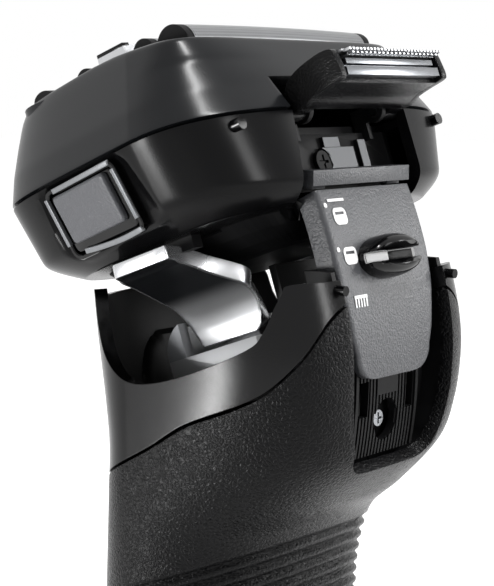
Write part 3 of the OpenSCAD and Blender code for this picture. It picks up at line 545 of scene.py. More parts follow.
def finishes():
    """Every finish by its name, made once."""
    c = bpy.context.scene.shaver_colours
    return {
        # ABS moulded against a fine-polished tool: deep black with a wide soft shine
        "satin_abs": surface("satin_abs", c.shell, 0.22, specular=0.1, grain=0.35, depth=0.003),
        # ABS moulded against a spark-eroded tool: dark grey, its shine broken up by a fine grain
        "eroded_abs": surface("eroded_abs", c.frame, 0.25, specular=0.2, grain=0.3, depth=0.007),
        # Soft elastomer moulded against an etched tool: a leather grain that breaks the shine into
        # small glints
        "leather_elastomer": surface("leather_elastomer", c.grip, 0.28, specular=0.1, grain=0.5,
                                     depth=0.14, leather=0.75),
        # ABS of the shoulder: a faint leather grain under a clear shine
        "shoulder_abs": surface("shoulder_abs", c.shell, 0.2, specular=0.2, grain=0.35, depth=0.008,
                                leather=0.4),
        # ABS moulded against an etched tool: a leather grain finer than the grip's, half shiny
        "leather_abs": surface("leather_abs", "#0c0c0d", 0.25, specular=0.15, grain=0.4, depth=0.05,
                               leather=0.6),
        # Grey ABS moulded against a spark-eroded tool: an even speckle, with a soft sheen
        "grey_abs": surface("grey_abs", c.panel, 0.36, specular=0.4, grain=0.4, depth=0.12),
        # Spark-eroded ABS of the release buttons' faces: grey and dull, with an even fine grain
        "button_abs": surface("button_abs", "#55565a", 0.42, specular=0.35, grain=0.5, depth=0.13),
        # Bare zinc plate behind the trimmer: dull grey
        "plate_zinc": surface("plate_zinc", "#4d4f52", 0.42, metallic=0.2, grain=0.3, depth=0.006),
        # Polished black ABS: sharp reflections on near black
        "polished_abs": surface("polished_abs", "#050506", 0.13, specular=0.22, grain=0.5, depth=0.002),
        # ABS of the inner mouldings, unpolished: dull black
        "inner_abs": surface("inner_abs", "#0a0a0b", 0.5, specular=0.12, grain=0.5, depth=0.01),
        # Lacquer with aluminium flake over a zinc casting: bright, with a soft metallic shine
        "silver_lacquer": surface("silver_lacquer", c.silver, 0.27, metallic=0.85, grain=0.25,
                                  depth=0.004, mottle=0.04),
        # The same lacquer over the neck block's moulded plastic: duller
        "neck_lacquer": surface("neck_lacquer", "#a2a3a5", 0.42, metallic=0.4, grain=0.25, depth=0.004,
                                mottle=0.05),
        # Silver lacquer with painted shade under the arms: a dark colour that thins out to bare silver down
        # the stem
        "lacquer_painted_shade": surface("lacquer_painted_shade", c.silver, 0.3, metallic=0.85, grain=0.25, depth=0.004,
                                  mottle=0.04, painted_shade=("#17181a", -0.0265, -0.022)),
        # Electroformed nickel of the foils: bright, slightly hazy
        "foil_nickel": surface("foil_nickel", "#9c9d9f", 0.3, metallic=1.0, grain=0.3, depth=0.004,
                               mottle=0.08),
        # Ground stainless steel of the blades and combs: fine streaks along the grinding
        "ground_steel": surface("ground_steel", "#bcbdbf", 0.3, metallic=1.0, grain=0.12, depth=0.004,
                                brushed=(0.06, 1, 1), mottle=0.1),
        # Polished stainless steel pins and bars: even and bright
        "bright_steel": surface("bright_steel", "#85878a", 0.26, metallic=1.0, grain=0.3, depth=0.002,
                                mottle=0.04),
        # Turned brass of the charging pins: warm and bright
        "contact_brass": surface("contact_brass", "#c7a257", 0.25, metallic=1.0, depth=0.002),
        # Satin-painted ABS of the thin trim lines on the neck: light grey; round the release buttons the same
        # grey is a painted highlight on the bevels
        "satin_trim_and_painted_highlight": surface("satin_trim_and_painted_highlight", "#77797c", 0.4, metallic=0.3, grain=0.3, depth=0.004),
        # Moulded smoked acrylic over the display: nearly black, like glass
        "smoked_acrylic": surface("smoked_acrylic", "#060708", 0.06, specular=0.5, depth=0, coat=0.4),
        # Moulded nitrile rubber: dull black
        "seal_rubber": surface("seal_rubber", "#0e0e0f", 0.7, specular=0.3, grain=0.4, depth=0.01),
        # Heat-shrunk vinyl sleeve: green, half shiny
        "battery_sleeve": surface("battery_sleeve", "#2b6549", 0.4, grain=0.6, depth=0.01),
        # Solder lacquer over glass cloth: green, smooth
        "board_lacquer": surface("board_lacquer", "#1d5537", 0.3, grain=0.8, depth=0.02),
        # Cast and tumbled zinc of the motor: grey metal with a blurred shine
        "motor_zinc": surface("motor_zinc", "#8b8d90", 0.38, metallic=0.9, grain=0.3, depth=0.006),
        # Pad-printed ink: flat white; on the knob's groove floor the same white is a painted reflection
        "white_ink_and_painted_reflection": surface("white_ink_and_painted_reflection", "#e4e4e4", 0.55, grain=0.2, depth=0.004, mottle=0.05),
    }


CARRIED = {
    "seal_rubber": ["base_seal"],
    "bright_steel": ["base_screws", "track_screw", "roll_pin", "pitch_pins", "drive_posts", "trimmer_pins"],
    "contact_brass": ["charge_pins"],
    "inner_abs": ["chassis", "neck_mount", "bottom_cover", "pivot_blocks", "drive_deck", "track_plate",
                  "foil_front_holder", "comb_back_holder", "comb_front_holder", "slit_guard_holder",
                  "foil_back_holder", "bracket_screw"],
    "battery_sleeve": ["battery_cell"],
    "board_lacquer": ["circuit_board"],
    "silver_lacquer": ["yoke_hub", "power_button"],
    "neck_lacquer": ["neck_block"],
    "motor_zinc": ["linear_motor"],
    "ground_steel": ["blade_back", "blade_front", "comb_back_blade", "comb_front_blade", "slit_cutter",
                     "slit_guard", "trimmer_comb", "trimmer_cutter"],
    "white_ink_and_painted_reflection": ["position_icons"],
    "polished_abs": ["rim_pins", "rear_studs"],
}


# ------------------------------------------------------------------ operators


class SHAVER_OT_carried(bpy.types.Operator):
    """Gives every carried-over solid its finish, before some of them are replaced"""
    bl_idname = "shaver.carried"
    bl_label = "Finish the carried-over solids"

    def execute(self, context):
        made = finishes()
        by_node = {node: made[key] for key, nodes in CARRIED.items() for node in nodes}
        for node, carried in frame["nodes"].items():
            finish = by_node.get(node, made["inner_abs"])
            if not carried.material_slots:
                carried.data.materials.append(finish)
            for material_slot in carried.material_slots:
                material_slot.material = finish
        return {"FINISHED"}


class SHAVER_OT_grip(bpy.types.Operator):
    """The soft grip: the handle's skin from the base to the groove, its finger ribs and the slot's well"""
    bl_idname = "shaver.grip"
    bl_label = "Grip shell"

    def execute(self, context):
        s = sizes()
        pitch, depth, top = s.rib_pitch * MM, s.rib_depth * MM, 69.5
        slope = np.radians(21)

        def inset(points):
            """Depth cut into the skin: the front panel's seat, and ribs that rise to the back."""
            x, y, z = np.moveaxis(points, -1, 0)
            seat = panel_seat(x, z) * (y < 0)
            down = (top - z + y * np.tan(slope)) / pitch
            away = abs(down - np.round(down)) * pitch * np.cos(slope)
            on = (down > -0.5) & (down < s.rib_count - 0.5)
            return seat + depth * step(0.75, 0.15, away) * on * step(-9, -1, y)

        def skin(z, angle):
            """The handle's skin with the seat and the ribs cut into it."""
            return handle_skin(z, angle, inset(handle_skin(z, angle)))

        low = np.concatenate([np.linspace(BASE_TOP + 0.3, 38, 12), np.linspace(38, 72, 92)[1:]])
        u = np.linspace(0, 1, 74)[None]
        rim = line_height(GROOVE, u, 66, 126) - GROOVE_HALF
        corner = (SLOT_SIDE[0][0] - low[-1]) / (rim[-1] - low[-1])
        rise = np.concatenate([np.linspace(0, corner, 52), np.linspace(corner, 1, 34)[1:]])[1:, None]
        z = np.concatenate([low[:, None] + 0 * u, low[-1] + (rim - low[-1]) * rise])
        side = quads(skin(z, side_angle(z, u)))
        x = SLOT_SIDE[0][1] * np.linspace(0, 1, 17)[None]
        floor = SLOT_SIDE[0][0] - np.sqrt(
            SLOT_CORNER**2 - np.maximum(x - SLOT_SIDE[0][1] + SLOT_CORNER, 0) ** 2)
        rise = rise[:51] / corner
        z = np.concatenate([low[:, None] + 0 * x, low[-1] + (floor - low[-1]) * rise])
        back = quads(skin(z, handle_angle(z, x)), flip=True)
        make_piece("grip_shell_skin", mirrored([side, back]), finishes()["leather_elastomer"], "handle",
                   nodes=["grip_shell"], slot="grip_rubber", wall=s.handle_wall * MM,
                   edge=s.edge * MM, crease=50, segments=2)
        # The well behind the slide panel: straight walls round the slot down to a curved floor
        z = np.concatenate([np.linspace(124, SLOT_SIDE[0][0], 40),
                            SLOT_SIDE[0][0] - SLOT_CORNER * np.sin(np.linspace(0, QUARTER, 10))[1:]])
        half = foot_half(z, SLOT_SIDE, SLOT_CORNER)
        half = np.concatenate([half, half[-1] * np.linspace(1, 0, 6)[1:]])
        z = np.concatenate([z, np.full(5, z[-1])])
        top_y = handle_skin(z, handle_angle(z, half), 1.0)[..., 1]
        floor_y = TRACK_Y + np.sqrt((s.track_radius * MM - WELL_UNDER) ** 2 - (z - TRACK_Z) ** 2)
        wall = np.stack([half, top_y, z], -1)
        foot = np.stack([half, floor_y, z], -1)
        well = quads(between([wall, foot, foot * [0, 1, 1]], [4, 6]))
        make_piece("slot_well", mirrored([well]), finishes()["inner_abs"], "handle",
                   slot="inner_plastic", wall=1.0)
        return {"FINISHED"}


class SHAVER_OT_shoulder(bpy.types.Operator):
    """The smooth shoulder: the handle's skin between the groove and the upper rim"""
    bl_idname = "shaver.shoulder"
    bl_label = "Shoulder shell"

    def execute(self, context):
        u = np.linspace(0, 1, 190)[None]
        low = line_height(GROOVE, u, 66, 126) + GROOVE_HALF
        high = line_height(RIM, u, 95, 124.5)
        z = low + (np.maximum(high, low + 0.4) - low) * np.linspace(0, 1, 46)[:, None]
        points = handle_skin(z, side_angle(z, u))
        seat = panel_seat(points[..., 0], z)
        points = handle_skin(z, side_angle(z, u), seat * (points[..., 1] < 0))
        made = finishes()
        make_piece("shoulder_skin", mirrored([quads(points)]), made["shoulder_abs"], "handle",
                   nodes=["shoulder_shell"], slot="shoulder_black_plastic", lining=made["inner_abs"],
                   wall=sizes().handle_wall * MM, edge=sizes().edge * 1.2 * MM, crease=50)
        return {"FINISHED"}


class SHAVER_OT_base(bpy.types.Operator):
    """The base cap: rounded rings up from a flat foot that has the charging inlet in it"""
    bl_idname = "shaver.base"
    bl_label = "Base cap"

    def execute(self, context):
        angle = np.linspace(0, 4 * QUARTER, 160, endpoint=False)

        def inlet(z, grow=0.0):
            """The charging inlet's outline at height z."""
            x, y = oval(angle, 7.0)
            return spread((5.5 + grow) * x, (3 + grow) * y, z)

        rings = [handle_skin(z, angle) for z in (1.5, 3.2, 5, 6.5, BASE_TOP)]
        inner = handle_skin(BASE_TOP, angle, 2.5)
        seat = handle_skin(1.2, angle) * [1, 1, 0]
        foot = [inlet(6.9), inlet(0.4), inlet(0.0, 0.4), seat]
        grid = loft([*foot, *rings, inner], [6, 2, 6, 6, 4, 4, 4, 4, 3])
        make_piece("base_cap_skin", [quads(grid, wrap=True)], finishes()["satin_abs"], "handle",
                   nodes=["base_cap"], slot="satin_black_plastic", edge=0.3, crease=60)
        return {"FINISHED"}


class SHAVER_OT_front(bpy.types.Operator):
    """The front panel, dished round the power button, with its display window"""
    bl_idname = "shaver.front"
    bl_label = "Front panel"

    def execute(self, context):
        def patch(middle, width, height, corner, out, count, dish=0.0):
            """A rounded rectangle laid on the handle's front, standing out of it."""
            z = middle + height / 2 * -np.cos(np.linspace(0, 2 * QUARTER, count))[:, None]
            reach = abs(z - middle) - height / 2 + corner
            half = width / 2 - corner + np.sqrt(np.maximum(corner**2 - np.maximum(reach, 0) ** 2, 0))
            x = half * np.linspace(-1, 1, 41)[None]
            row = rows_at(HANDLE_ROWS, z + 0 * x)
            share = abs(x) / (row[..., 1] * sizes().grip_half_width * MM)
            y = -row[..., 2] * (1 - share**FRONT_SQUARENESS) ** (1 / FRONT_SQUARENESS) - out
            hole = step(0.2, -0.4, np.hypot(x, z - POWER_Z) - POWER_DISH) * dish
            return quads(spread(x, y + hole, z))

        made = finishes()
        make_piece("front_panel_skin", [patch(*FRONT_PANEL, 0.4, 150, 1.2)], made["polished_abs"],
                   "handle", nodes=["front_panel"], slot="gloss_black_plastic", wall=1.2, edge=0.3)
        make_piece("display_window", [patch(*DISPLAY, 0.55, 60)], made["smoked_acrylic"],
                   "handle", nodes=["display_lens"], slot="smoked_glass", wall=0.6, edge=0.15)
        return {"FINISHED"}


class SHAVER_OT_slide(bpy.types.Operator):
    """The slide panel on its curved track, with its side walls, cross bar and thumb knob"""
    bl_idname = "shaver.slide"
    bl_label = "Slide panel"

    def execute(self, context):
        made = finishes()
        radius = sizes().track_radius * MM
        # Heights of the panel's round foot, of its middle and of its top, whose side walls are deeper
        low = np.concatenate([np.linspace(106.3, 110.3, 18), np.linspace(110.3, 122.6, 24)[1:],
                              np.linspace(122.9, 136.4, 28)])
        up = np.arcsin((low - TRACK_Z) / radius)[:, None]
        half = foot_half(low, PANEL_SIDE, PANEL_CORNER)[:, None]
        deep = np.where(low > 122.8, 3.9, 1.4)[:, None]
        across = np.linspace(0, 1, 26)[None]
        edge = 0.8
        turn = np.linspace(0, QUARTER, 6)[1:]
        x = np.concatenate([(half - edge) * across, half - edge + edge * np.sin(turn), half], 1)
        out = np.concatenate([0 * half * across, 0 * half - edge * (1 - np.cos(turn)), -deep], 1)
        grid = on_track(x, up, out)
        make_piece("slide_panel_skin", mirrored([quads(grid, flip=True)]), made["grey_abs"], "slide_panel",
                   nodes=["slide_panel"], slot="textured_black_plastic", wall=1.1, edge=0.2)
        soft_copy("slide_bar_soft", "slide_bar", made["grey_abs"], "slide_panel", 0.25,
                  slot="textured_black_plastic")
        # The knob: a dome over an oval, with a groove across it whose lips are bevelled
        marks = [0, 0.4, 0.8, 0.83, 0.95, 1.15, 1.45, 1.75, 2.0, 2.3, 2.6, 2.85, 3.05, 3.2, 3.33,
                 3.43, 3.5, KNOB_SIDE]
        q = np.array([-m for m in marks[:0:-1]] + marks)[:, None]
        share = np.sin(np.linspace(-1, 1, 61)[None] * QUARTER)
        p = KNOB_HALF * np.sqrt(np.maximum(1 - (q / KNOB_SIDE) ** 2, 0)) * share
        round_off = np.maximum(1 - ((p / KNOB_HALF) ** 2 + (q / KNOB_SIDE) ** 2) ** 2.6, 0) ** 0.42
        lip = np.interp(abs(q), [0.8, 0.83, 1.75], [1.1, 2.7, 4.2]) + 0 * p
        height = np.minimum(0.3 + 3.9 * round_off, lip)
        foot = np.full_like(height[:, :1], -0.3)
        height = np.concatenate([foot, height, foot], 1)
        p = np.concatenate([p[:, :1], p, p[:, -1:]], 1)
        along = np.array([0, -np.sin(KNOB_UP), np.cos(KNOB_UP)])
        cap = on_track(p, KNOB_UP, 0.05 + height) + q[..., None] * along
        make_piece("thumb_knob", [quads(cap, flip=True)], made["polished_abs"], "slide_panel",
                   nodes=["slide_knob"], slot="gloss_black_plastic")

        def bar(x0, x1, thick):
            """A flat bar on the floor of the knob's groove: one is a painted shadow, the other a painted
            reflection.
            """
            loops = [on_track(np.array([x0, x1, x1, x0]), KNOB_UP, 1.0 + out)
                     + np.array([-0.7, -0.7, 0.7, 0.7])[:, None] * along for out in (0, thick)]
            return quads(loft(loops, [1]), wrap=True, flip=True)

        # Painted shadow of the ridge: a dull black bar over one half of the groove's floor
        make_piece("knob_painted_shadow", [bar(-6.3, 0.5, 0.2)], made["inner_abs"], "slide_panel",
                   slot="inner_plastic", edge=0.05)
        # Painted reflection: a white bar over the other half of the groove's floor
        make_piece("knob_painted_reflection", [bar(0.6, 6.6, 0.25)], made["white_ink_and_painted_reflection"], "slide_panel",
                   slot="white_print", edge=0.05)
        return {"FINISHED"}


class SHAVER_OT_head(bpy.types.Operator):
    """The head's lower housing, a bottom plate and bowed sides, and the release buttons in it"""
    bl_idname = "shaver.head"
    bl_label = "Head housing"

    def execute(self, context):
        made = finishes()
        u = np.linspace(0, 1, 170)[None]
        w = np.linspace(HEAD_FOOT, -0.3, 52)[:, None]
        edge = window_angle(w, window_half(w))
        sides = head_skin(w + 0 * u, -QUARTER + u * (edge + QUARTER))
        rim = sides[0]
        stop = np.minimum(rim, [np.inf, 11.6, np.inf])
        plate = between([stop * [0, 1, 1], stop, rim], [16, 4])
        grid = soften(np.concatenate([plate[:-1], sides]), 5)
        # The pocket round the release button, a flat-bottomed scoop that is wider to the back
        turn, middle = np.array(BUTTON_PLACE)[:3, :3], np.array(BUTTON_PLACE)[:3, 3]
        local = (grid - middle) @ turn
        out, side, up = np.moveaxis(local, -1, 0)
        wide = np.clip(2.2 - 0.2 * up, 0.8, 3.4)
        near = np.where(side > 0, side * 10.2 / (10.2 + wide), side)
        pull = step(1.1, -0.7, box_distance(near, up, 20.8, 12.8, 2.2)) * (out > -5)
        floor = -1.3
        local = np.stack([out + (floor - out) * pull, side, up], -1)
        make_piece("head_housing_skin", mirrored([quads(in_head(local @ turn.T + middle))]),
                   made["satin_abs"], "head", nodes=["head_housing"], slot="satin_black_plastic",
                   wall=sizes().head_wall * MM, edge=0.35, crease=50)

        def on_button(out, side, up):
            """Points over the button's plane, out of the housing's side."""
            return in_head(spread(out, side, up) @ turn.T + middle)

        def ring(width, height, corner, out, lift=0.0):
            """A rounded rectangle over the button's plane."""
            p = rounded_loop(width, height, corner, 96)
            return on_button(out, p[:, 0], p[:, 1] + lift)

        def rings(*facts):
            """One such ring for each of several rows of facts."""
            return [ring(*fact) for fact in facts]

        def highlight_strip(path, width, low=-0.4, high=0.3):
            """A flat light grey bar along a path over the button's plane: a painted highlight on a bevel."""
            path = np.asarray(path, float)
            along = np.gradient(path, axis=0)
            across = np.stack([-along[:, 1], along[:, 0]], -1) / np.linalg.norm(along, axis=1)[:, None]
            rim = [(low, -1), (low, 1), (high, 1), (high, -1)]
            grid = np.stack([on_button(out, *(path + across * width / 2 * k).T) for out, k in rim], 1)
            return quads(loft(grid, [1] * (len(path) - 1)), wrap=True)

        outer, inner = (20, 12.6, 1.9), (18.4, 11, 1.3)
        surround = between(rings((*outer, -1.8), (*outer, -0.2), (19.7, 12.3, 1.8, 0), (18.7, 11.3, 1.4, 0),
                                 (*inner, -0.2), (*inner, -1.8), (*outer, -1.8)), [2, 1, 1, 1, 2, 1])
        make_piece("button_surround", mirrored([quads(surround, wrap=True)]), made["polished_abs"], "head",
                   slot="gloss_black_plastic")
        # Painted highlights on the bevels round the button: three straight strips, and a lower one that sags
        # along its length
        sag = np.linspace(-6.2, 9.4, 12)
        lower = np.stack([sag, -5.15 - 0.7 * np.sin((sag + 6.2) / 15.6 * 2.3)], -1)
        highlight_strips = [highlight_strip([[-6.8, 5.8], [9.2, 5.8]], 0.85), highlight_strip([[-9.5, 5.1], [-9.5, -3.4]], 0.85),
                  highlight_strip([[9.5, -3.9], [9.5, 4.7]], 0.85), highlight_strip(lower, 0.9)]
        make_piece("button_painted_highlights", mirrored(highlight_strips), made["satin_trim_and_painted_highlight"], "head",
                   nodes=["button_bezels"], slot="grey_plastic", edge=0.12)
        plate = loft(rings((17.8, 10.4, 1, -2.4), (17.8, 10.4, 1, -0.5), (17.2, 9.8, 0.8, -0.2)), [2, 2])
        face = loft(rings((14.6, 8.4, 0.7, -0.4, 0.7), (14.6, 8.4, 0.7, 0.4, 0.7),
                          (14.1, 7.9, 0.6, 0.75, 0.7), (13, 6.8, 0.5, 0.8, 0.8)), [1, 3, 3])
        plate, face = [quads(plate, wrap=True)], [quads(face, wrap=True)]
        soft = {"edge": 0.12, "crease": 30, "segments": 2}
        for name, side in (("release_button_left", list), ("release_button_right", other_side)):
            make_piece(name + "_plate", side(plate), made["polished_abs"], name,
                       slot="gloss_black_plastic", **soft)
            make_piece(name + "_face", side(face), made["button_abs"], name, nodes=[name],
                       slot="grey_plastic", **soft)
        return {"FINISHED"}


class SHAVER_OT_foil_frame(bpy.types.Operator):
    """The foil frame: sides that lean in to a rounded deck round the foils' opening"""
    bl_idname = "shaver.foil_frame"
    bl_label = "Foil frame"

    def execute(self, context):
        def rows(w, angle):
            """Sides, deck and the opening's wall for columns at these angles."""
            x, y = oval(angle[-1], np.where(np.sin(angle[-1]) > 0, 16.0, 10.0))
            hole = np.stack([OPENING[0] * x, OPENING[1] * y], -1)
            sides = head_skin(w, angle)
            top = sides[-1]
            reach = np.linalg.norm(top[:, :2] - [0, OPENING[2]], axis=1) - 1.0
            inside = np.minimum(1, reach / np.linalg.norm(hole, axis=1))
            hole *= np.where(hole[:, 1] < 0, inside, 1)[:, None]
            hole += [0, OPENING[2]]
            edge = np.interp(hole[:, 1], *np.transpose(DECK))
            mouth = np.concatenate([hole, edge[:, None]], 1)
            deck = between([top, mouth, mouth - [0, 0, 3]], [12, 6])[1:]
            return soften(np.concatenate([sides, deck]), 6, first=len(w) - 14)

        def heights(angles):
            """Heights above the window's top up to the deck, which falls away to the back."""
            share = np.linspace(0, 1, 34)[:, None]
            w = WINDOW_TOP + 9.3 * share
            for _ in range(4):
                top = np.interp(head_skin(w[-1], angles(w)[-1])[:, 1], *np.transpose(DECK))
                w = WINDOW_TOP + (top - WINDOW_TOP) * share
            return w

        def side_angles(w):
            """Angles from the middle of the front round to the window's edge."""
            return -QUARTER + u * (window_angle(w, window_half(w)) + QUARTER)

        def back_angles(w):
            """Angles from the middle of the back out to the window's edge."""
            return window_angle(w, window_half(w) * v)

        u = np.linspace(0, 1, 150)[None]
        v = np.linspace(0, 1, 40)[None]
        low = np.linspace(0.35, WINDOW_TOP, 18)[:-1, None] + 0 * u
        w = np.concatenate([low, heights(side_angles)])
        side = quads(in_head(rows(w, side_angles(w))))
        w = heights(back_angles)
        back = quads(in_head(rows(w, back_angles(w))), flip=True)
        make_piece("foil_frame_skin", mirrored([side, back]), finishes()["eroded_abs"], "cassette",
                   nodes=["foil_frame"], slot="frame_plastic", wall=1.8, edge=0.35, crease=55)
        return {"FINISHED"}


def crowned(x, v, w, out_v, out_w):
    """A point of a foil: a cross-section carried along a line bowed to the foils' radius."""
    radius = FOIL_BOW + out_w
    turn = x / FOIL_BOW
    return spread(radius * np.sin(turn), v + out_v, w - FOIL_BOW + radius * np.cos(turn))


def foil_parts(v, w, radius, across, around):
    """A foil of pierced cells: eight points round each cell and eight round its slanted hole.

    Real slots are finer; the cells are as coarse as they need to be to show.
    """
    half, slant, hole, top = 22.6, 0.35, 0.62, np.radians(84)
    i, j = np.meshgrid(np.arange(across), np.arange(around), indexing="ij")
    cell_x, cell_a = 2 * half / across, 2 * top / around
    turn = np.arange(8) * np.pi / 4
    rim = np.stack([np.cos(turn), np.sin(turn)], -1)
    rim /= abs(rim).max(1)[:, None]
    oval_x = hole * np.cos(turn) * 0.55 + slant * hole * np.sin(turn)
    oval_a = hole * np.sin(turn) * 1.15
    ring = np.stack([rim, np.stack([oval_x, oval_a], -1)], 0)
    x = (i[..., None, None] + 0.5 + ring[..., 0] / 2) * cell_x - half
    a = (j[..., None, None] + 0.5 + ring[..., 1] / 2) * cell_a - top
    points = crowned(x, v, w, -radius * np.sin(a), radius * np.cos(a)).reshape(-1, 3)
    k = np.arange(8)
    face = np.stack([8 + k, 8 + (k + 1) % 8, (k + 1) % 8, k], -1)
    faces = (np.arange(across * around)[:, None, None] * 16 + face).reshape(-1, 4)
    legs, x = [], np.linspace(-half, half, across + 1)
    for sign in (-1, 1):
        a = sign * top
        ends = [crowned(x, v, w, -radius * np.sin(a), radius * np.cos(a)),
                crowned(x, v, w, -radius * sign, -2.6)]
        legs.append(quads(between(ends, [3]), flip=sign > 0))
    return [(in_head(points), faces), *[(in_head(p), f) for p, f in legs]]


class SHAVER_OT_foils(bpy.types.Operator):
    """The pierced foils and combs, arched sheets on a bowed line, and the slit guard's end clips"""
    bl_idname = "shaver.foils"
    bl_label = "Foils and combs"

    def execute(self, context):
        made = finishes()
        for node, body, v, w, radius, across, around in (
                ("foil_back", "back_foil", 5.4, 14.8, 3.4, 74, 16),
                ("foil_front", "front_foil", -25.6, 14.8, 3.4, 74, 16),
                ("comb_back", "back_comb", -0.9, 15.9, 2.4, 46, 8),
                ("comb_front", "front_comb", -14.8, 15.9, 2.4, 46, 8)):
            make_piece(node + "_sheet", foil_parts(v, w, radius, across, around), made["foil_nickel"],
                       body, nodes=[node], slot="foil_steel", wall=0.2)
        clip = [np.stack([[22.7, 24.25, 24.25, 22.7], [-11.25, -11.25, -4.95, -4.95],
                          [w, w - 0.1, w - 0.1, w]], -1) for w in (18.5, 19.1)]
        make_piece("slit_guard_clips", mirrored([solid(clip, [1])]), made["polished_abs"],
                   "slit_trimmer", slot="gloss_black_plastic", edge=0.15)
        return {"FINISHED"}


class SHAVER_OT_arms(bpy.types.Operator):
    """The silver arms, a flange that bends down into a stem, and the neck between them"""
    bl_idname = "shaver.arms"
    bl_label = "Silver arms"

    def execute(self, context):
        made = finishes()
        line = spline(ARM_LINE, 90)
        front, back = spline(ARM_FRONT), spline(ARM_BACK)
        along = np.gradient(line, axis=0)
        thick = sizes().arm_thickness * MM + 0.5 * step(27, 24.5, line[:, 0])
        under = line + np.stack([-along[:, 1], along[:, 0]], -1) * (thick / np.hypot(*along.T))[:, None]
        gone = np.append(0, np.cumsum(np.hypot(*np.diff(line, axis=0).T)))

        def rounding(distance, radius):
            """How far an edge steps in at that distance from a corner of that radius."""
            return radius - np.sqrt(radius**2 - np.clip(radius - distance, 0, radius) ** 2)

        trim = rounding(gone, 0.7)
        last = rounding(gone[-1] - gone, 2.2)

        def edges(p, inset=0.0):
            """Front and back edge of the arm over a line of its section."""
            f = np.interp(p[:, 0], *front.T) + trim + inset
            r = np.interp(p[:, 0], *back.T) - trim - last - inset
            return [np.stack([p[:, 0], v, p[:, 1]], -1) for v in (f, r)]

        (uf, ub), (lf, lb) = edges(line), edges(under)
        loops = np.stack([uf, lf, lb, ub], 1)
        casting = [solid(loops, [1] * (len(loops) - 1))]
        # A thin sheet just under each arm, which carries the painted shade
        shade_sheet = edges(under + (under - line) * (0.06 / thick)[:, None], 0.5)
        shade_sheet = [quads(in_head(between(shade_sheet, [4])[:, 2:-1]))]
        turn = np.linspace(0, 2 * QUARTER, 24)
        foot, pivot, radius = -16.6, -12, 3
        ear = [prism(22.1, 24.3, np.concatenate([[-4 - radius], -4 - radius * np.cos(turn), [-4 + radius]]),
                     np.concatenate([[foot], pivot + radius * np.sin(turn), [foot]]))]
        for name, side in (("arm_left", list), ("arm_right", other_side)):
            make_piece(name + "_casting", side(casting), made["silver_lacquer"], "carrier", nodes=[name],
                       slot="silver_paint", edge=0.3, crease=50)
            make_piece(name + "_underside_painted_shade", side(shade_sheet), made["lacquer_painted_shade"], "carrier",
                       slot="silver_paint")
            make_piece(name + "_ear", side(ear), made["inner_abs"], "carrier", slot="inner_plastic")
        soft_copy("yoke_hub_soft", "yoke_hub", made["silver_lacquer"], "carrier", 0.4, slot="silver_paint")
        soft_copy("neck_block_soft", "neck_block", made["neck_lacquer"], "handle", 0.3,
                  slot="silver_paint")
        # The light lips on the sides of the neck, each a slice of a disc
        radius, middle_v, middle_w = 6.15, -15.2, -32
        v = np.linspace(-21.2, -17.2, 20)[None]
        w = middle_w + np.sqrt(radius**2 - (v - middle_v) ** 2) * np.linspace(0, 1, 12)[:, None]
        lip = quads(in_head(spread(15.05, v, w)))
        make_piece("neck_lips", mirrored([lip]), made["satin_trim_and_painted_highlight"], "handle", slot="grey_plastic",
                   wall=0.04)
        return {"FINISHED"}


class SHAVER_OT_trimmer(bpy.types.Operator):
    """The pop-up trimmer, a wedge between two cheeks, with its bars, bracket and bracket plates"""
    bl_idname = "shaver.trimmer"
    bl_label = "Trimmer"

    def execute(self, context):
        made = finishes()
        outline = [[16.4, 2.6], [17.4, 4], [19.5, 5.2], [22.4, 6], [25.4, 6.4], [27.3, 6], [27.9, 4],
                   [28.1, 1.9], [27.4, 1.3], [24.7, 0.9], [22, 0.4], [20, -0.4], [17.8, -0.2],
                   [16.4, 2.6]]
        loop = spline(outline, 97)[:-1]

        def slab(x0, x1, cut=99.0):
            """The outline between two places across, cut off at a reach."""
            return prism(x0, x1, np.minimum(loop[:, 0], cut), loop[:, 1], 2)

        turn = np.linspace(0, 4 * QUARTER, 32, endpoint=False)
        barrels = []
        for x0, x1 in ((10.8, 14.3), (-14.3, -10.8)):
            barrels += [prism(x0, x1, 15.5 + 1.7 * np.cos(turn), 0.2 + 1.7 * np.sin(turn)),
                        prism(x0, x1, [15.3, 19.5, 19.5, 15.3], [-1.2, -0.3, 1.8, 1.8])]
        make_piece("trimmer_body", [slab(-13.25, 13.25, 26.45), *barrels], made["leather_abs"], "trimmer",
                   nodes=["trimmer_case"], slot="textured_black_plastic", edge=0.15)
        make_piece("trimmer_cheeks", [slab(13.2, 14.6), slab(-14.6, -13.2)], made["leather_abs"], "trimmer",
                   slot="textured_black_plastic", edge=0.3, crease=50)
        soft_copy("trimmer_bars_soft", "trimmer_bars", made["bright_steel"], "trimmer", 0.12,
                  slot="polished_steel")
        soft_copy("trimmer_bracket_soft", "trimmer_bracket", made["inner_abs"], "head", 0.15,
                  slot="inner_plastic")

        def plate(x0, x1, w0, w1, v):
            """A thin plate on the bracket, its points pushed out of a circle round the screw."""
            x, w = np.meshgrid(np.linspace(x0, x1, 14), np.linspace(w0, w1, 14))
            sx, sw = BRACKET_SCREW
            push = np.maximum(2.15 / np.maximum(np.hypot(x - sx, w - sw), 1e-6), 1)
            x, w = np.minimum(sx + (x - sx) * push, x1), sw + (w - sw) * push
            return quads(in_head(spread(x, v, w)), flip=True)

        plates = [plate(-4.5, 3.9, -10.5, -5.3, 13.24), plate(-1.3, 2.9, -5.2, -3.5, 13.04),
                  plate(-8.3, -6.3, -9.5, -4.1, 13.14)]
        make_piece("bracket_plates", plates, made["plate_zinc"], "head", slot="grey_plastic", wall=0.04)
        return {"FINISHED"}


def rays_that_see(tree):
    """1 for the rays that show the background: the camera's, glossy ones and those through glass."""
    path = add(tree, "ShaderNodeLightPath").outputs
    seen = add(tree, "ShaderNodeMath", None, {0: path["Is Camera Ray"], 1: path["Is Glossy Ray"]},
               operation="MAXIMUM")
    return add(tree, "ShaderNodeMath", None, {0: seen.outputs[0], 1: path["Is Transmission Ray"]},
               operation="MAXIMUM").outputs[0]


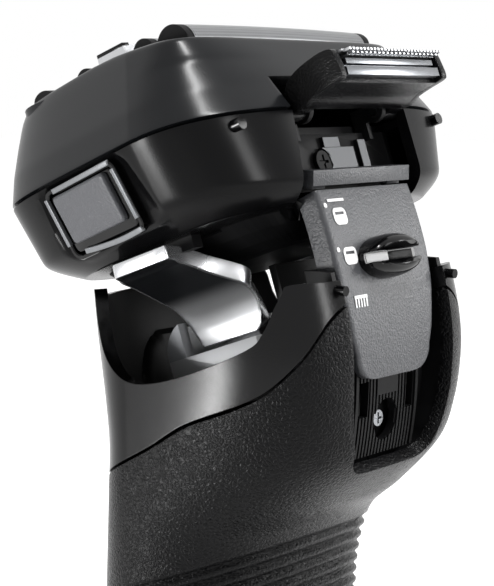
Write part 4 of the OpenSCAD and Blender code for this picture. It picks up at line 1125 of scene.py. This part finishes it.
class SHAVER_OT_stage(bpy.types.Operator):
    """The floor, the lights, the room and the camera"""
    bl_idname = "shaver.stage"
    bl_label = "Stage"

    def execute(self, context):
        scene = context.scene
        levels = scene.shaver_stage
        scene.view_settings.view_transform = "Standard"
        mesh = bpy.data.meshes.new("floor")
        reach = 4.0
        mesh.from_pydata([(-reach, -reach, 0), (reach, -reach, 0), (reach, reach, 0), (-reach, reach, 0)],
                         [], [(0, 1, 2, 3)])
        new_object("floor", mesh)
        paper = bpy.data.materials.new("paper")
        paper.use_nodes = True
        tree = paper.node_tree
        tree.nodes.clear()
        seen = rays_that_see(tree)
        white = add(tree, "ShaderNodeEmission", {"Color": (1, 1, 1, 1), "Strength": 0.9})
        matt = add(tree, "ShaderNodeBsdfDiffuse", {"Color": (0.62, 0.62, 0.62, 1)})
        both = add(tree, "ShaderNodeAddShader", None, {0: white.outputs[0], 1: matt.outputs[0]})
        mix = add(tree, "ShaderNodeMixShader", None, {0: seen, 1: matt.outputs[0], 2: both.outputs[0]})
        add(tree, "ShaderNodeOutputMaterial", None, {"Surface": mix.outputs[0]})
        mesh.materials.append(paper)

        world = bpy.data.worlds.new("room")
        scene.world = world
        world.use_nodes = True
        tree = world.node_tree
        tree.nodes.clear()
        seen = rays_that_see(tree)
        dim = add(tree, "ShaderNodeBackground", {"Color": (1, 1, 1, 1), "Strength": levels.room})
        bright = add(tree, "ShaderNodeBackground", {"Color": (1, 1, 1, 1), "Strength": 1.0})
        mix = add(tree, "ShaderNodeMixShader", None, {0: seen, 1: dim.outputs[0], 2: bright.outputs[0]})
        add(tree, "ShaderNodeOutputWorld", None, {"Surface": mix.outputs[0]})

        middle = Vector((0, 0.01, 0.12))
        for name, place, power, width, height in (
                ("key", (0.02, 0.36, 0.95), levels.key, 0.07, 0.4),
                ("right", (-0.06, 0.8, 0.34), levels.side, 0.12, 0.3),
                ("low", (0.26, -0.125, 0.035), levels.side * 0.3, 0.04, 0.1),
                ("back", (-0.5, 0.4, 0.26), levels.side, 0.2, 0.3)):
            light = bpy.data.lights.new(name, "AREA")
            light.shape, light.size, light.size_y, light.energy = "RECTANGLE", width, height, power
            lamp = new_object(name, light)
            lamp.location = place
            lamp.rotation_euler = (middle - Vector(place)).to_track_quat("-Z", "Y").to_euler()

        lens = bpy.data.cameras.new("camera")
        lens.sensor_width, lens.sensor_fit, lens.lens = 36, "AUTO", 95.222
        camera = new_object("camera", lens)
        camera.location = (0.2051, 0.1751, 0.1512)
        turn, tip = np.radians(130), np.radians(-7.29)
        ahead = Vector((-np.sin(turn) * np.cos(tip), np.cos(turn) * np.cos(tip), np.sin(tip)))
        camera.rotation_euler = ahead.to_track_quat("-Z", "Y").to_euler()
        scene.camera = camera
        return {"FINISHED"}


OPERATORS = (SHAVER_OT_carried, SHAVER_OT_grip, SHAVER_OT_shoulder, SHAVER_OT_base, SHAVER_OT_front,
             SHAVER_OT_slide, SHAVER_OT_head, SHAVER_OT_foil_frame, SHAVER_OT_foils, SHAVER_OT_arms,
             SHAVER_OT_trimmer, SHAVER_OT_stage)


class SHAVER_PT_parts(bpy.types.Panel):
    """Lists the steps that dress the shaver"""
    bl_label = "Shaver"
    bl_idname = "SHAVER_PT_parts"
    bl_space_type = "VIEW_3D"
    bl_region_type = "UI"
    bl_category = "Shaver"

    def draw(self, context):
        for group in ("shaver_sizes", "shaver_colours", "shaver_stage"):
            settings = getattr(context.scene, group)
            for name in settings.__annotations__:
                self.layout.prop(settings, name)
        for operator in OPERATORS:
            self.layout.operator(operator.bl_idname)


GROUPS = {"shaver_sizes": ShaverSizes, "shaver_colours": ShaverColours, "shaver_stage": ShaverStage}


def register():
    """Registers the classes and hangs the settings on the scene."""
    for made in (*GROUPS.values(), *OPERATORS, SHAVER_PT_parts):
        bpy.utils.register_class(made)
    for name, group in GROUPS.items():
        setattr(bpy.types.Scene, name, bpy.props.PointerProperty(type=group))


def unregister():
    """Takes the settings and the classes away again."""
    for name in GROUPS:
        delattr(bpy.types.Scene, name)
    for made in reversed((*GROUPS.values(), *OPERATORS, SHAVER_PT_parts)):
        bpy.utils.unregister_class(made)


def main():
    """Registers the add-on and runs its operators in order."""
    register()
    for operator in OPERATORS:
        group, name = operator.bl_idname.split(".")
        getattr(getattr(bpy.ops, group), name)()


if __name__ == "__main__":
    main()
